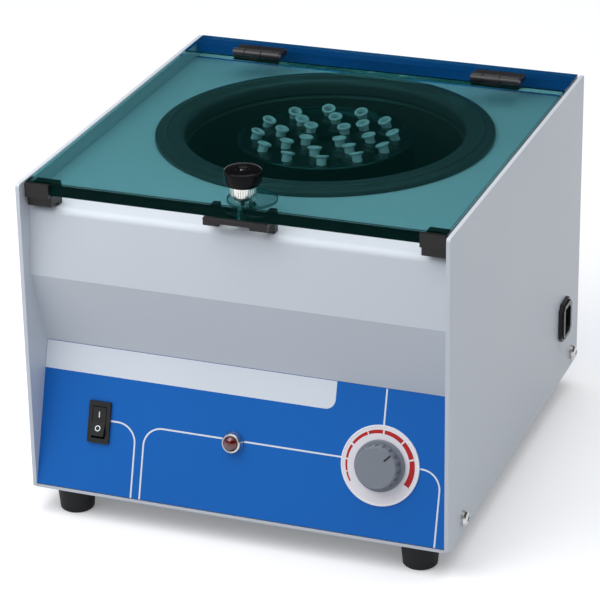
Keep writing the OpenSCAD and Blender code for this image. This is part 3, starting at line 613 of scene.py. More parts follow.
def prisms(outlines, place, low, high):
    """Closed prisms from flat outlines, between two heights of a frame."""
    shape = bmesh.new()
    for outline in outlines:
        bottom, top = ([shape.verts.new(place @ Vector((x, y, z))) for x, y in outline]
                       for z in (low, high))
        shape.faces.new(bottom[::-1])
        shape.faces.new(top)
        for i in range(len(outline)):
            j = (i + 1) % len(outline)
            shape.faces.new((bottom[i], bottom[j], top[j], top[i]))
    return mesh_of(shape)


def turned(profile, place, steps=96, unit=MM):
    """Closed shape from a profile of (radius, height), turned about a frame's third axis."""
    shape = bmesh.new()
    scaled = [(r * unit, h * unit) for r, h in profile]
    rings = []
    for i in range(steps):
        angle = 2 * pi * i / steps
        rings.append([shape.verts.new(place @ Vector((r * cos(angle), r * sin(angle), h)))
                      for r, h in scaled])
    count = len(scaled)
    for i in range(steps):
        here, after = rings[i], rings[(i + 1) % steps]
        for k in range(count):
            n = (k + 1) % count
            if scaled[k][0] or scaled[n][0]:
                shape.faces.new((here[k], after[k], after[n], here[n]))
    bmesh.ops.remove_doubles(shape, verts=shape.verts, dist=1e-7)
    return mesh_of(shape)


def joined(first, *others, way="UNION"):
    """One mesh from closed meshes, fused or cut by a boolean."""
    links = bpy.context.scene.collection.objects
    base, *tools = (bpy.data.objects.new("boolean", mesh) for mesh in (first, *others))
    links.link(base)
    for tool in tools:
        links.link(tool)
        step = base.modifiers.new("step", "BOOLEAN")
        step.operation = way
        step.solver = "EXACT"
        step.object = tool
    graph = bpy.context.evaluated_depsgraph_get()
    mesh = bpy.data.meshes.new_from_object(base.evaluated_get(graph))
    if len(mesh.polygons) < 4:
        raise RuntimeError("a boolean came out empty")
    for part in (base, *tools):
        bpy.data.objects.remove(part)
    return mesh


def block(low, high):
    """Box between two corners."""
    outline = [(low[0], low[1]), (high[0], low[1]), (high[0], high[1]), (low[0], high[1])]
    return prisms([outline], Matrix.Identity(4), low[2], high[2])


def arc(centre_x, centre_y, radius, start, end, steps=12):
    """Points on an arc, angles in degrees."""
    angles = [radians(start + (end - start) * i / steps) for i in range(steps + 1)]
    return [(centre_x + radius * cos(a), centre_y + radius * sin(a)) for a in angles]


def ribbon(path, width):
    """Outline of a line of even width along a path."""
    left, right = [], []
    for i, (x, y) in enumerate(path):
        before, after = path[max(i - 1, 0)], path[min(i + 1, len(path) - 1)]
        dx, dy = after[0] - before[0], after[1] - before[1]
        length = hypot(dx, dy)
        nx, ny = -dy / length * width / 2, dx / length * width / 2
        left.append((x + nx, y + ny))
        right.append((x - nx, y - ny))
    return left + right[::-1]


# Pieces of the control panel


def make_panel_print(scene):
    """Light block at the top left of the panel and the white lines between the controls."""
    settings = scene.centrifuge_print
    thick = settings.print_height
    bottom = (CREASE_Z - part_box("control_panel")[0].z) / PANEL_UP.z - 0.6 * MM
    left, top = -PANEL_HALF + 0.2 * MM, -0.4 * MM
    edge, deep, bend = settings.block_right, settings.block_depth, settings.block_corner
    outline = [(left, top), (left, -deep)]
    outline += arc(edge - bend, -deep + bend, bend, -90, 0) + [(edge, top)]
    add_piece("panel_print_block", prisms([outline], panel_place(0, 0), 0.0, thick), "casing",
              printed("print_light_grey", scene.centrifuge_paint.block_grey),
              "painted_casing")

    row = CONTROL_ROW - 1.9 * MM    # the lines run a little above the controls' middles
    bend = settings.line_corner
    low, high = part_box("lamp_bezel")
    lamp = (low.x + high.x) / 2
    lamp_gap = (high.x - low.x) / 2 + 0.15 * MM
    dial = DIAL_CENTRE.x
    dial_gap = settings.dial_radius + 0.05 * MM
    switch_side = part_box("switch_frame")[1].x + 0.05 * MM
    # Where the three lines that end at the panel's foot stand, from left to right
    corner, rise, fall = -87.5 * MM, -80.2 * MM, 159 * MM

    def turned_down(start, end):
        """Line along the row that turns down to the panel's foot."""
        return [(start, -row)] + arc(end - bend, -row - bend, bend, 90, 0) + [(end, -bottom)]

    paths = [
        turned_down(switch_side, corner),
        [(rise, -bottom)] + arc(rise + bend, -row - bend, bend, 180, 90)
        + [(lamp - lamp_gap, -row)],
        [(lamp + lamp_gap, -row), (dial - dial_gap, -row)],
        [(dial, -0.5 * MM), (dial, -CONTROL_ROW + dial_gap)],
        turned_down(dial + dial_gap, fall),
    ]
    mesh = prisms([ribbon(path, settings.line_width) for path in paths], panel_place(0, 0),
                  0.0, thick)
    add_piece("panel_print_lines", mesh, "casing", print_white(), "plate_grey")


def make_switch(scene):
    """Black rocker switch in its frame, with its white on and off marks."""
    give(coated("switch_black", (0.010, 0.010, 0.011), grain_size=2400.0, roughness=0.32,
                gloss=0.35, relief=0.08, wear=0.05, dust=0.04, bare=RUBBED_BLACK),
         "switch_frame", "switch_rocker")
    soften(0.35 * MM, "switch_frame", "switch_rocker")
    pivot_depth, rest_tilt = 2.5 * MM, radians(-8)
    reach, face, slope = 5.4 * MM, 5.47 * MM, atan2(1.8, 11.2)
    rocker = (panel_place(node_centre("switch_rocker").x, CONTROL_ROW, -pivot_depth)
              @ Matrix.Rotation(rest_tilt, 4, "X"))
    upper, lower = (rocker @ Matrix.Translation((0, side * reach, face))
                    @ Matrix.Rotation(side * slope, 4, "X") for side in (1, -1))
    half, wide, thick = scene.centrifuge_print.mark_height / 2, 0.42 * MM, 0.06 * MM
    hole = half - 0.75 * MM
    bar = prisms([[(-wide, -half), (wide, -half), (wide, half), (-wide, half)]], upper, 0.0,
                 thick)
    ring = turned([(half, 0.0), (half, thick), (hole, thick), (hole, 0.0)], lower, 48, unit=1)
    for name, mesh in (("switch_on_mark", bar), ("switch_off_mark", ring)):
        add_piece(name, mesh, "rocker", print_white(), "plate_grey")


def make_lamp(scene):
    """Pilot lamp: turned metal bezel, dark red dome, and a dark ring in the groove between them as
    painted shade.
    """
    give(machined("lamp_metal", (0.60, 0.60, 0.60), roughness=0.28, line_scale=1600.0),
         "lamp_bezel")
    give(coated("lamp_red", scene.centrifuge_paint.lamp_red, grain_size=900.0, mottle=0.08,
                roughness=0.12, relief=0.02, wear=0.0, dust=0.0, coat=1.0), "lamp_lens")
    give(coated("lamp_socket", (0.02, 0.02, 0.02)), "lamp_body")
    soften(0.2 * MM, "lamp_bezel")
    # Painted shade: a dark ring fills the groove between bezel and dome.
    groove = turned([(5.75, 5.0), (6.02, 5.0), (6.02, 5.7), (5.85, 5.8), (5.75, 5.7)],
                    panel_place(node_centre("lamp_bezel").x, CONTROL_ROW), 64)
    add_piece("lamp_groove", groove, "casing",
              coated("lamp_groove_shade", (0.015, 0.012, 0.012), roughness=0.5, wear=0.0, dust=0.0),
              "black_plastic")


def make_dial(scene):
    """Round dial plate with its pale face and growing red marks, and the grey fluted knob."""
    settings, paint = scene.centrifuge_print, scene.centrifuge_paint
    place = panel_place(DIAL_CENTRE.x, CONTROL_ROW)
    r = settings.dial_radius / MM
    disc = turned([(5.3, 0), (r, 0), (r, 1.1), (r - 0.3, 1.4), (r - 1.2, 1.4), (r - 1.5, 1),
                   (5.3, 1)], place, 160)
    add_piece("dial_disc", disc, "casing",
              coated("dial_white", srgb(246, 246, 250), grain_size=1800.0, mottle=0.02,
                     roughness=0.35, gloss=0.35, relief=0.04, wear=0.0),
              "plate_grey", "dial_plate")
    face = turned([(29.1, 1.0), (29.1, 1.06), (10, 1.06), (10, 1.0)], place, 128)
    add_piece("dial_face", face, "casing",
              printed("dial_pale_grey", srgb(238, 235, 242), grain_size=2200.0), "plate_grey")

    outer, thin, steps = settings.mark_radius, settings.mark_thin, 14
    first, last = -124, 120
    spans = ((first, -108), (-106, -88), (-85, -62), (-58, -27), (-25, 0), (3, 38), (41, 71),
             (74, last))
    outlines = []
    for start, end in spans:
        rim, inner = [], []
        for i in range(steps + 1):
            angle = start + (end - start) * i / steps
            thick = thin + (settings.mark_thick - thin) * (angle - first) / (last - first)
            a = radians(angle)
            rim.append((outer * sin(a), outer * cos(a)))
            inner.append(((outer - thick) * sin(a), (outer - thick) * cos(a)))
        outlines.append(rim + inner[::-1])
    add_piece("dial_marks", prisms(outlines, place, 1.06 * MM, 1.12 * MM), "casing",
              printed("dial_red", paint.mark_red, grain_size=1800.0, relief=0.03), "red_lens")
    give(coated("knob_grey", paint.knob_grey, grain_size=2600.0, mottle=0.05, roughness=0.42,
                gloss=0.35, relief=0.07, wear=0.12, dust=0.04), "speed_knob")
    give(coated("pointer_black", (0.012, 0.012, 0.012), wear=0.0), "knob_pointer")
    soften(0.3 * MM, "speed_knob", angle=50)


# Casing, lid, lock, bowl, rotor, drive and power


def make_casing(scene):
    """Painted sheets, blue panel film and rear cover, screws and rubber feet."""
    paint = scene.centrifuge_paint
    give(coated("casing_paint", paint.casing, grain_size=1900.0, mottle=0.035, gloss=0.4,
                relief=0.10, wear=paint.wear, dust=0.06),
         "base_pan", "left_panel", "right_panel", "front_fascia", "top_plate")
    give(coated("panel_film_blue", paint.blue, grain_size=1050.0, mottle=0.07, roughness=0.42,
                gloss=0.22, relief=0.22, wear=0.0, dust=0.03), "control_panel")
    give(coated("cover_paint_blue", paint.blue, grain_size=1900.0, mottle=0.05, gloss=0.3,
                relief=0.10, wear=paint.wear, dust=0.06, bare=(0.16, 0.26, 0.42)),
         "rear_cover")
    give(machined("screw_steel", (0.62, 0.62, 0.61), roughness=0.30, line_scale=2200.0),
         "side_screws", "rear_screws", "foot_bolts")
    give(coated("foot_rubber", (0.013, 0.013, 0.014), grain_size=1300.0, mottle=0.10,
                roughness=0.62, gloss=0.25, relief=0.25, wear=0.1, dust=0.12,
                bare=(0.09, 0.09, 0.09)), "feet")
    soften(0.5 * MM, "left_panel", "right_panel", "base_pan", "control_panel")
    soften(0.4 * MM, "front_fascia", "rear_cover")
    soften(0.9 * MM, "feet", segments=3)
    soften(0.25 * MM, "side_screws")


def make_lid(scene):
    """Green-tinted clear lid and rear strip, black clips on its corners, rests below them."""
    glass = scene.centrifuge_lid
    sheets = ("lid", "rear_strip")
    give(clear_sheet("lid_acrylic", glass.tint, glass.density, glass.gloss, glass.painted_edge_glow),
         *sheets)
    for name in sheets:
        NODES[name].visible_shadow = NODES[name].visible_diffuse = False
    soften(glass.edge_round, *sheets, angle=60)
    give(black_plastic(), "lid_clips")
    soften(0.9 * MM, "lid_clips", segments=3)

    low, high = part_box("corner_rests")
    wide, lip, top = 19.5 * MM, low.z + 3.3 * MM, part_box("lid_clips")[0].z
    step, back = low.y + 13 * MM, low.y + 20 * MM
    outline = [(low.y, lip), (step, lip), (step, low.z), (back, low.z), (back, top),
               (low.y, top)]
    # The outline is drawn to the rear and up, and stretched to the right
    across = Matrix(((0, 0, 1, 0), (1, 0, 0, 0), (0, 1, 0, 0), (0, 0, 0, 1)))
    for side, x in (("left", low.x), ("right", high.x - wide)):
        add_piece("corner_rest_" + side, prisms([outline], across, x, x + wide), "casing",
                  black_plastic(), "black_plastic", "corner_rests", edge=0.5 * MM)


def make_hinges(scene):
    """Two black hinges: a thick leaf on the rear strip, three barrels and a pin each."""
    black = coated("hinge_black", (0.013, 0.012, 0.015), grain_size=2000.0, mottle=0.05,
                   roughness=0.22, relief=0.04, wear=0.10, dust=0.05, bare=(0.16, 0.16, 0.17))
    steel = machined("pin_steel", (0.55, 0.55, 0.55), roughness=0.3)
    axis = Vector(JOINTS["lid_hinge"]["pos_m"])
    sheet_top, sheet_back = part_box("lid")[1].z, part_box("lid")[1].y
    wide = scene.centrifuge_lid.hinge_width
    first, middle, gap = 0.25 * wide, 0.35 * wide, 0.4 * MM
    barrel, pin, leaf, leaf_reach = 3.4 * MM, 1.5 * MM, 5.2 * MM, 17 * MM
    plate, plate_drop = 1.4 * MM, 9 * MM

    def roll(x, length, radius):
        """Solid round bar about the hinge's axis."""
        along = Matrix.Translation((x, axis.y, axis.z)) @ Matrix.Rotation(pi / 2, 4, "Y")
        return turned([(0, 0), (radius, 0), (radius, length), (0, length)], along, 48, unit=1)

    for side, centre in (("left", -99.5 * MM), ("right", 108 * MM)):
        left = centre - wide / 2
        right = left + wide
        knuckle, knuckle_end = left + first, left + first + middle
        bore = roll(left - MM, wide + 2 * MM, pin + 0.05 * MM)
        fixed = joined(block((left, axis.y, sheet_top),
                             (right, axis.y + leaf_reach, sheet_top + leaf)),
                       roll(left, first - gap, barrel),
                       roll(knuckle_end + gap, wide - first - middle - gap, barrel))
        room = block((knuckle - gap, axis.y - 5 * MM, sheet_top - MM),
                     (knuckle_end + gap, axis.y + barrel + 0.6 * MM, sheet_top + 12 * MM))
        add_piece("hinge_fixed_" + side, joined(fixed, room, bore, way="DIFFERENCE"), "casing",
                  black, "black_steel", "hinge_fixed_leaves", edge=0.6 * MM, segments=3)
        moving = joined(roll(knuckle + gap, middle - 2 * gap, barrel),
                        block((knuckle + gap, sheet_back, sheet_top - MM),
                              (knuckle_end - gap, sheet_back + plate, sheet_top + 2.5 * MM)),
                        block((left, sheet_back, sheet_top - plate_drop),
                              (right, sheet_back + plate, sheet_top - 0.2 * MM)))
        add_piece("hinge_lid_" + side, joined(moving, bore, way="DIFFERENCE"), "lid", black,
                  "black_steel", "hinge_lid_leaves", edge=0.3 * MM)
        add_piece("hinge_pin_" + side, roll(left - 0.4 * MM, wide + 0.8 * MM, pin), "casing",
                  steel, "zinc_steel", "hinge_pins", edge=0.25 * MM)


def make_lock(scene):
    """Glossy black cap on a bright knurled collar, its screw, stud, tongue, plate and strike."""
    glass = scene.centrifuge_lid
    axis = Vector(JOINTS["lock_turn"]["pos_m"])
    sheet_top, sheet_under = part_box("lid")[1].z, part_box("lid")[0].z
    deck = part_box("top_plate")[1].z
    upright = Matrix.Translation((axis.x, axis.y, 0))
    cap_foot = sheet_top / MM + glass.collar_height / MM
    inner, recess, recess_depth = 4.1, 4.4, 4.4
    h = glass.cap_height / MM
    r = 14.2
    profile = [(inner, 0), (r - 2.4, 0), (r - 1.1, 0.4), (r - 0.4, 1.4), (r - 0.1, 2.8),
               (r, h - 1.8), (r - 0.3, h - 0.8), (r - 1.1, h - 0.2), (r - 2.2, h), (5.2, h),
               (recess, h - 0.6), (recess, h - recess_depth), (inner, h - recess_depth)]
    cap = turned([(x, cap_foot + z) for x, z in profile], upright, 144)
    add_piece("lock_cap_low", cap, "lock",
              coated("cap_gloss_black", (0.004, 0.004, 0.005), grain_size=700.0, mottle=0.02,
                     roughness=0.2, gloss=0.1, relief=0.02, wear=0.0, dust=0.0),
              "gloss_black", "lock_cap")

    bright = machined("collar_chrome", (0.72, 0.71, 0.69), roughness=0.16, line_scale=1800.0)
    foot = sheet_top / MM + 0.3
    h = glass.collar_height / MM - 0.3
    profile = [(inner, 0), (7.5, 0), (7.5, 1.8), (9.3, 2.2), (10, 2.9), (10, h - 1.2),
               (9.4, h - 0.6), (8.4, h), (inner, h)]
    collar = turned([(x, foot + z) for x, z in profile], upright, 144)
    ring, deep, count = 10.15 * MM, 0.45 * MM, 36
    grooves = []
    for a in (radians(i * 360 / count) for i in range(count)):
        grooves.append([(ring * cos(a) + deep * cos(a + k * pi / 2),
                         ring * sin(a) + deep * sin(a + k * pi / 2)) for k in range(4)])
    cutters = prisms(grooves, upright, (foot + 3.4) * MM, (foot + h - 2) * MM)
    add_piece("lock_collar_knurled", joined(collar, cutters, way="DIFFERENCE"), "lock", bright,
              "chrome_metal", "lock_collar")

    head = cap_foot + glass.cap_height / MM - recess_depth
    screw = turned([(0, head), (4.3, head), (4.3, head + 3.4), (3.9, head + 3.8),
                    (0, head + 3.8)], upright, 64)
    corner = 2.3 * MM
    socket = prisms([[(corner * cos(k * pi / 3), corner * sin(k * pi / 3)) for k in range(6)]],
                    upright, (head + 1.8) * MM, (head + 6) * MM)
    add_piece("lock_screw_low", joined(screw, socket, way="DIFFERENCE"), "lock", bright,
              "chrome_metal", "lock_screw")

    steel = machined("stud_steel", (0.60, 0.60, 0.60), roughness=0.24, line_scale=2000.0)
    foot = deck / MM + 5.4
    stud = turned([(0, foot), (4, foot), (4, head), (0, head)], upright, 64)
    add_piece("lock_stud_short", stud, "lock", steel, "chrome_metal", "lock_stud")
    half, reach, hub, hole = 5.5 * MM, 17 * MM, 7.5 * MM, 4.02 * MM
    outline = [(half, 0), (half, reach - half)] + arc(0, reach - half, half, 0, 180)[1:]
    outline += [(-half, 0)] + arc(0, 0, hub, 180, 360, steps=24)
    tongue = prisms([outline], upright, foot * MM, (foot + 2.2) * MM)
    bore = turned([(0, deck), (hole, deck), (hole, sheet_under), (0, sheet_under)], upright,
                  64, unit=1)
    add_piece("lock_tongue_high", joined(tongue, bore, way="DIFFERENCE"), "lock", steel,
              "zinc_steel", "lock_tongue", edge=0.3 * MM)

    give(dark_rimmed_disc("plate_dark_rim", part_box("lock_plate")), "lock_plate")
    make_strike(axis, deck, sheet_under)


def make_strike(axis, deck, sheet_under):
    """Black strike under the lid's front edge: bar, two legs, web, and two arms on the deck."""
    left, right = axis.x - 24.5 * MM, axis.x + 26 * MM
    front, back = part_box("lid")[0].y - 3 * MM, axis.y + 2 * MM
    web, arm = deck + 9.0 * MM, 6 * MM
    web_top, leg, top = web + 1.9 * MM, web - 2 * MM, sheet_under - 0.3 * MM
    left_leg, right_leg = left + 11.5 * MM, right - 14 * MM
    outline = [(left, leg), (left_leg, leg), (left_leg, web), (right_leg, web),
               (right_leg, leg), (right, leg), (right, top), (left, top)]
    # The outline is drawn to the right and up, and stretched to the rear
    facing = Matrix(((1, 0, 0, 0), (0, 0, 1, 0), (0, 1, 0, 0), (0, 0, 0, 1)))
    parts = [prisms([outline], facing, front, front + 6.5 * MM),
             block((left, front + MM, web), (right, front + 12 * MM, web_top))]
    for x in (left, right - arm):
        parts.append(block((x, front + MM, web), (x + arm, back, web_top)))
        parts.append(block((x, back - 7 * MM, deck), (x + arm, back, web_top)))
    add_piece("strike_bracket", joined(*parts), "casing", black_plastic(), "black_plastic",
              "strike", edge=0.6 * MM, segments=3)


def make_bowl(scene):
    """Deep black bowl with fine spun rings, its stepped rim and the rubber gland."""
    rotor = scene.centrifuge_rotor
    low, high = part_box("bowl_rim")
    centre = ((low.x + high.x) / 2, (low.y + high.y) / 2, 0.0)
    give(ringed("bowl_black", rotor.bowl, centre, spacing=2.2 * MM, roughness=0.34, gloss=0.4,
                relief=0.10), "bowl")
    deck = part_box("top_plate")[1].z / MM
    outer = (high.x - low.x) / 2 / MM
    top, mouth, wide, shelf = deck + 6, outer - 22, 22, deck - 7
    profile = [(mouth - 0.3, deck + 1), (mouth + 2.5, deck + 1), (mouth + 2.5, deck),
               (outer, deck), (outer, top - 3.4), (outer - 0.6, top - 2.4),
               (outer - 1.6, top - 2), (outer - wide * 0.33, top - 1.6),
               (outer - wide * 0.36, top - 0.4), (outer - wide * 0.40, top),
               (outer - wide * 0.46, top), (outer - wide * 0.50, top - 0.7),
               (mouth + 4, top - 0.9), (mouth + 1.2, top - 1.4), (mouth - 0.6, top - 2.6),
               (mouth - 1.6, top - 4), (mouth - 2, top - 6), (mouth - 2, shelf + 0.2),
               (mouth - 0.3, shelf + 0.2)]
    add_piece("rim_moulding", turned(profile, Matrix.Translation(centre), 240), "casing",
              ringed("rim_black", rotor.rim, centre, spacing=1.6 * MM, roughness=0.36,
                     gloss=0.4, relief=0.12),
              "black_moulding", "bowl_rim", crisp=60, edge=0.35 * MM, segments=3, angle=25)
    give(coated("gland_rubber", (0.012, 0.012, 0.012), grain_size=1200.0, roughness=0.6,
                gloss=0.25, relief=0.2, dust=0.1), "shaft_gland")


def make_rotor(scene):
    """Turned black rotor with 24 leaning bores, its milky cups, clamping screw and shaft."""
    settings = scene.centrifuge_rotor
    axis = Vector(JOINTS["rotor_spin"]["pos_m"])
    centre = (axis.x, axis.y, 0.0)
    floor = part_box("rotor")[0].z / MM
    seat, top = floor + 29, floor + 45
    r = settings.rotor_radius / MM
    profile = [(8.05, seat - 4), (8.05, floor), (20, floor), (22, floor + 8), (r - 20, floor + 11),
               (r - 3, floor + 18), (r, floor + 21), (r, top + 0.8), (r - 0.5, top + 1.5),
               (r - 1.3, top + 1.8), (r - 2.1, top + 1.5), (r - 3, top), (6.2, top), (6.2, seat),
               (3.3, seat), (3.3, seat - 4)]
    body = turned(profile, Matrix.Translation(centre), 192)

    bore = settings.cup_bore / MM
    wall, flange = bore + 0.7, bore + 2.3
    length, proud = settings.cup_length / MM, settings.cup_proud / MM
    tip = wall * 0.55
    cup = [(bore, -0.5), (bore + 0.5, 0), (flange - 0.5, 0), (flange, -0.5), (flange, -1.5),
           (flange - 0.5, -2.0), (wall, -2.4), (wall, 4 - length), (wall - 0.6, 1.4 - length),
           (tip, -length), (0, -length), (0, 1 - length), (tip - 0.4, 1 - length),
           (bore - 0.5, 2.4 - length), (bore, 4.4 - length)]
    fit = wall + 0.15
    hole = [(0, -length - 0.2), (fit, -length - 0.2), (fit, 10), (0, 10)]
    cups, holes = bmesh.new(), bmesh.new()
    for count, ring, lean, start in ((12, 53, 20, 16.7), (8, 35, 14, 6.3), (4, 18.5, 8, 56.5)):
        for i in range(count):
            place = (Matrix.Translation((axis.x, axis.y, top * MM))
                     @ Matrix.Rotation(radians(start + i * 360 / count), 4, "Z")
                     @ Matrix.Translation((ring * MM, 0, proud * MM * cos(radians(lean))))
                     @ Matrix.Rotation(radians(-lean), 4, "Y"))
            for target, shape in ((cups, cup), (holes, hole)):
                mesh = turned(shape, place, 48)
                target.from_mesh(mesh)
                bpy.data.meshes.remove(mesh)
    black = ringed("rotor_black", settings.rotor, centre, spacing=0.8 * MM, roughness=0.16,
                   gloss=0.6, relief=0.12)
    add_piece("rotor_turned", joined(body, mesh_of(holes), way="DIFFERENCE"), "rotor", black,
              "rotor_black", "rotor")
    add_piece("rotor_cups", mesh_of(cups), "rotor",
              milky("cup_plastic", settings.cup, settings.cup_clear), "cup_plastic",
              "tube_cups", crisp=50)
    give(machined("shaft_steel", (0.58, 0.58, 0.58), line_scale=1500.0), "rotor_screw",
         "drive_shaft")


def make_motor():
    """Ribbed motor, its zinc plate and pillars, black screws and rubber dampers."""
    give(coated("motor_grey", (0.14, 0.15, 0.16), grain_size=900.0, mottle=0.08, roughness=0.5,
                gloss=0.4, relief=0.3, wear=0.3, dust=0.2), "motor_housing")
    give(machined("zinc_plate", (0.50, 0.51, 0.50), roughness=0.42, line_scale=500.0),
         "motor_plate", "motor_pillars")
    give(coated("screw_black", (0.02, 0.02, 0.02), roughness=0.35, wear=0.3,
                bare=(0.3, 0.3, 0.3)), "motor_screws")
    give(coated("damper_rubber", (0.013, 0.013, 0.013), grain_size=1100.0, roughness=0.65,
                gloss=0.25, relief=0.25, dust=0.15), "motor_dampers")
    soften(0.4 * MM, "motor_plate")


def make_power():
    """Mains inlet with its blades, speed control, and the board with its parts."""
    give(coated("inlet_black", (0.012, 0.012, 0.012), grain_size=2200.0, mottle=0.05,
                roughness=0.30, gloss=0.4, relief=0.08, wear=0.06, dust=0.05,
                bare=RUBBED_BLACK), "inlet_body")
    give(machined("blade_brass", (0.66, 0.60, 0.48), roughness=0.28), "inlet_pins")
    give(machined("spindle_brass", (0.60, 0.50, 0.32), roughness=0.3), "pot_spindle")
    give(coated("pot_case", (0.05, 0.06, 0.08)), "speed_pot")
    give(circuit_green("board_green"), "control_board")
    give(coated("part_black", (0.02, 0.02, 0.022), roughness=0.45, wear=0.15, dust=0.15,
                bare=(0.2, 0.2, 0.2)), "board_parts")
    give(coated("spacer_white", (0.72, 0.71, 0.68), grain_size=1200.0, roughness=0.5, wear=0.0,
                dust=0.15), "board_spacers")
    soften(0.4 * MM, "inlet_body")


# Settings that a user would change


def number(label, words, default, low, high, **more):
    """Plain number, or one with a unit."""
    return FloatProperty(name=label, description=words, default=default, min=low, max=high,
                         **more)


def length(label, words, default, low, high):
    """Length in metres."""
    return number(label, words, default, low, high, unit="LENGTH", precision=5)


def colour(label, words, value):
    """Colour of a finish."""
    return FloatVectorProperty(name=label, description=words, default=value, subtype="COLOR",
                               min=0, max=1)


class StageSettings(PropertyGroup):
    """Light of the room and the place of the camera."""

    room_light: number("Room light", "Strength of the even room light", 0.58, 0, 2)
    floor_glow: number("Floor glow", "Lift of the floor where it is looked at", 0.16, 0, 1)
    key_light: number("Key lamp", "Power of the large lamp at the left", 5.2, 0, 60,
                      unit="POWER")
    top_light: number("Top lamp", "Strength of the soft lamp above", 0.75, 0, 5)
    key_azimuth: number("Key azimuth", "Side that the key lamp comes from, in degrees", -36,
                        -180, 180)
    key_distance: length("Key distance", "From the part to the key lamp", 0.95, 0.6, 5)
    lens: number("Lens", "Focal length of the camera", 166.9, 20, 400, unit="CAMERA")
    azimuth: number("Azimuth", "Camera to the right of the front, degrees", 20.65, -180, 180)
    elevation: number("Elevation", "Camera above level, degrees", 24.10, -89, 89)
    roll: number("Roll", "Tilt of the picture, degrees", -0.96, -20, 20)
    distance: length("Distance", "From the camera to its target", 2.243, 0.5, 10)
    target: FloatVectorProperty(name="Target", description="Point that the camera looks at",
                                default=(-0.0132, 0, 0.1263), subtype="XYZ", unit="LENGTH")


class PaintSettings(PropertyGroup):
    """Colours of the casing, its prints and its controls."""

    casing: colour("Casing", "Light grey paint of the folded sheets", srgb(206, 212, 220))
    blue: colour("Blue", "Film of the control panel and paint of the rear cover",
                 srgb(14, 102, 190))
    block_grey: colour("Print block", "Light block at the top left of the panel",
                       srgb(224, 231, 240))
    mark_red: colour("Dial marks", "Red marks round the speed knob", srgb(190, 34, 38))
    knob_grey: colour("Knob", "Grey plastic of the speed knob", srgb(127, 133, 143))
    lamp_red: colour("Lamp", "Dark red dome of the pilot lamp", srgb(92, 12, 18))
    wear: number("Edge wear", "How far the paint's edges are rubbed", 0.18, 0, 1)


class PrintSettings(PropertyGroup):
    """Sizes of the prints on the control panel, the switch and the dial."""

    print_height: length("Print height", "How far a print stands off its face", 0.00008,
                         0.00002, 0.0005)
    line_width: length("Line width", "Width of the white lines", 0.0013, 0.0004, 0.004)
    line_corner: length("Line corner", "Radius of the white lines' corners", 0.015, 0.002,
                        0.03)
    block_right: length("Block edge", "Right edge of the light block", 0.072, -0.05, 0.1)
    block_depth: length("Block depth", "Height of the light block", 0.0224, 0.01, 0.04)
    block_corner: length("Block corner", "Radius of the light block's lower corner", 0.008,
                         0.001, 0.015)
    mark_height: length("Switch marks", "Height of the marks on the rocker", 0.0046, 0.002,
                        0.007)
    dial_radius: length("Dial radius", "Radius of the round dial plate", 0.0309, 0.026, 0.033)
    mark_radius: length("Dial mark radius", "Outer radius of the red marks", 0.0273, 0.022,
                        0.029)
    mark_thin: length("Thinnest mark", "Width of the first red mark", 0.0011, 0.0004, 0.003)
    mark_thick: length("Thickest mark", "Width of the last red mark", 0.0046, 0.001, 0.006)


class LidSettings(PropertyGroup):
    """Clear sheet of the lid, its hinges and its lock."""

    tint: colour("Tint", "Colour that light takes on inside the sheet", (0.115, 0.588, 0.608))
    density: number("Tint density", "How fast the tint deepens", 165, 0, 400)
    gloss: number("Gloss", "Strength of the sheet's reflections", 0.05, 0, 1)
    # Painted glow: the sheet's own faint light, not light that it gathers.
    painted_edge_glow: number("Painted edge glow", "Light that the sheet gathers", 0.005, 0, 0.1, precision=4)
    cap_height: length("Cap height", "Height of the lock's black cap", 0.0116, 0.010, 0.020)
    collar_height: length("Collar height", "Height of the bright collar under the cap", 0.0113,
                          0.008, 0.014)
    hinge_width: length("Hinge width", "Width of a hinge", 0.041, 0.030, 0.060)
    edge_round: length("Edge round", "Rounding of the sheet's edges", 0.0006, 0.0001, 0.003)


class RotorSettings(PropertyGroup):
    """Colours and sizes of the bowl, the rotor and the cups."""

    bowl: colour("Bowl", "Black of the bowl", (0.040, 0.038, 0.038))
    rim: colour("Rim", "Black of the bowl's rim", (0.058, 0.058, 0.059))
    rotor: colour("Rotor", "Black of the rotor", (0.008, 0.009, 0.010))
    cup: colour("Cups", "Milky plastic of the cups", (0.90, 0.95, 0.96))
    rotor_radius: length("Rotor radius", "Radius of the rotor", 0.070, 0.069, 0.084)
    cup_bore: length("Cup bore", "Radius of the hole in a cup", 0.0033, 0.003, 0.0039)
    cup_length: length("Cup length", "Length of a cup", 0.028, 0.024, 0.030)
    cup_proud: length("Cup reach", "How far the cups stand out of the rotor", 0.0065, 0.004,
                      0.010)
    cup_clear: number("Cup clearness", "Light that goes straight through a cup", 0.45, 0, 1)


# One operator for each group of pieces


class CENTRIFUGE_OT_stage(Operator):
    """Make the pale floor, the room, the lamps and the camera"""

    bl_idname = "centrifuge.stage"
    bl_label = "Stage"

    def execute(self, context):
        make_stage(context.scene)
        return {"FINISHED"}


class CENTRIFUGE_OT_casing(Operator):
    """Finish the sheets, the blue film, the rear cover, the screws and the feet"""

    bl_idname = "centrifuge.casing"
    bl_label = "Casing"

    def execute(self, context):
        make_casing(context.scene)
        return {"FINISHED"}


class CENTRIFUGE_OT_panel_print(Operator):
    """Print the light block and the white lines on the control panel"""

    bl_idname = "centrifuge.panel_print"
    bl_label = "Panel print"

    def execute(self, context):
        make_panel_print(context.scene)
        return {"FINISHED"}


class CENTRIFUGE_OT_switch(Operator):
    """Finish the rocker switch and print its marks"""

    bl_idname = "centrifuge.switch"
    bl_label = "Switch"

    def execute(self, context):
        make_switch(context.scene)
        return {"FINISHED"}


class CENTRIFUGE_OT_lamp(Operator):
    """Finish the pilot lamp"""

    bl_idname = "centrifuge.lamp"
    bl_label = "Lamp"

    def execute(self, context):
        make_lamp(context.scene)
        return {"FINISHED"}


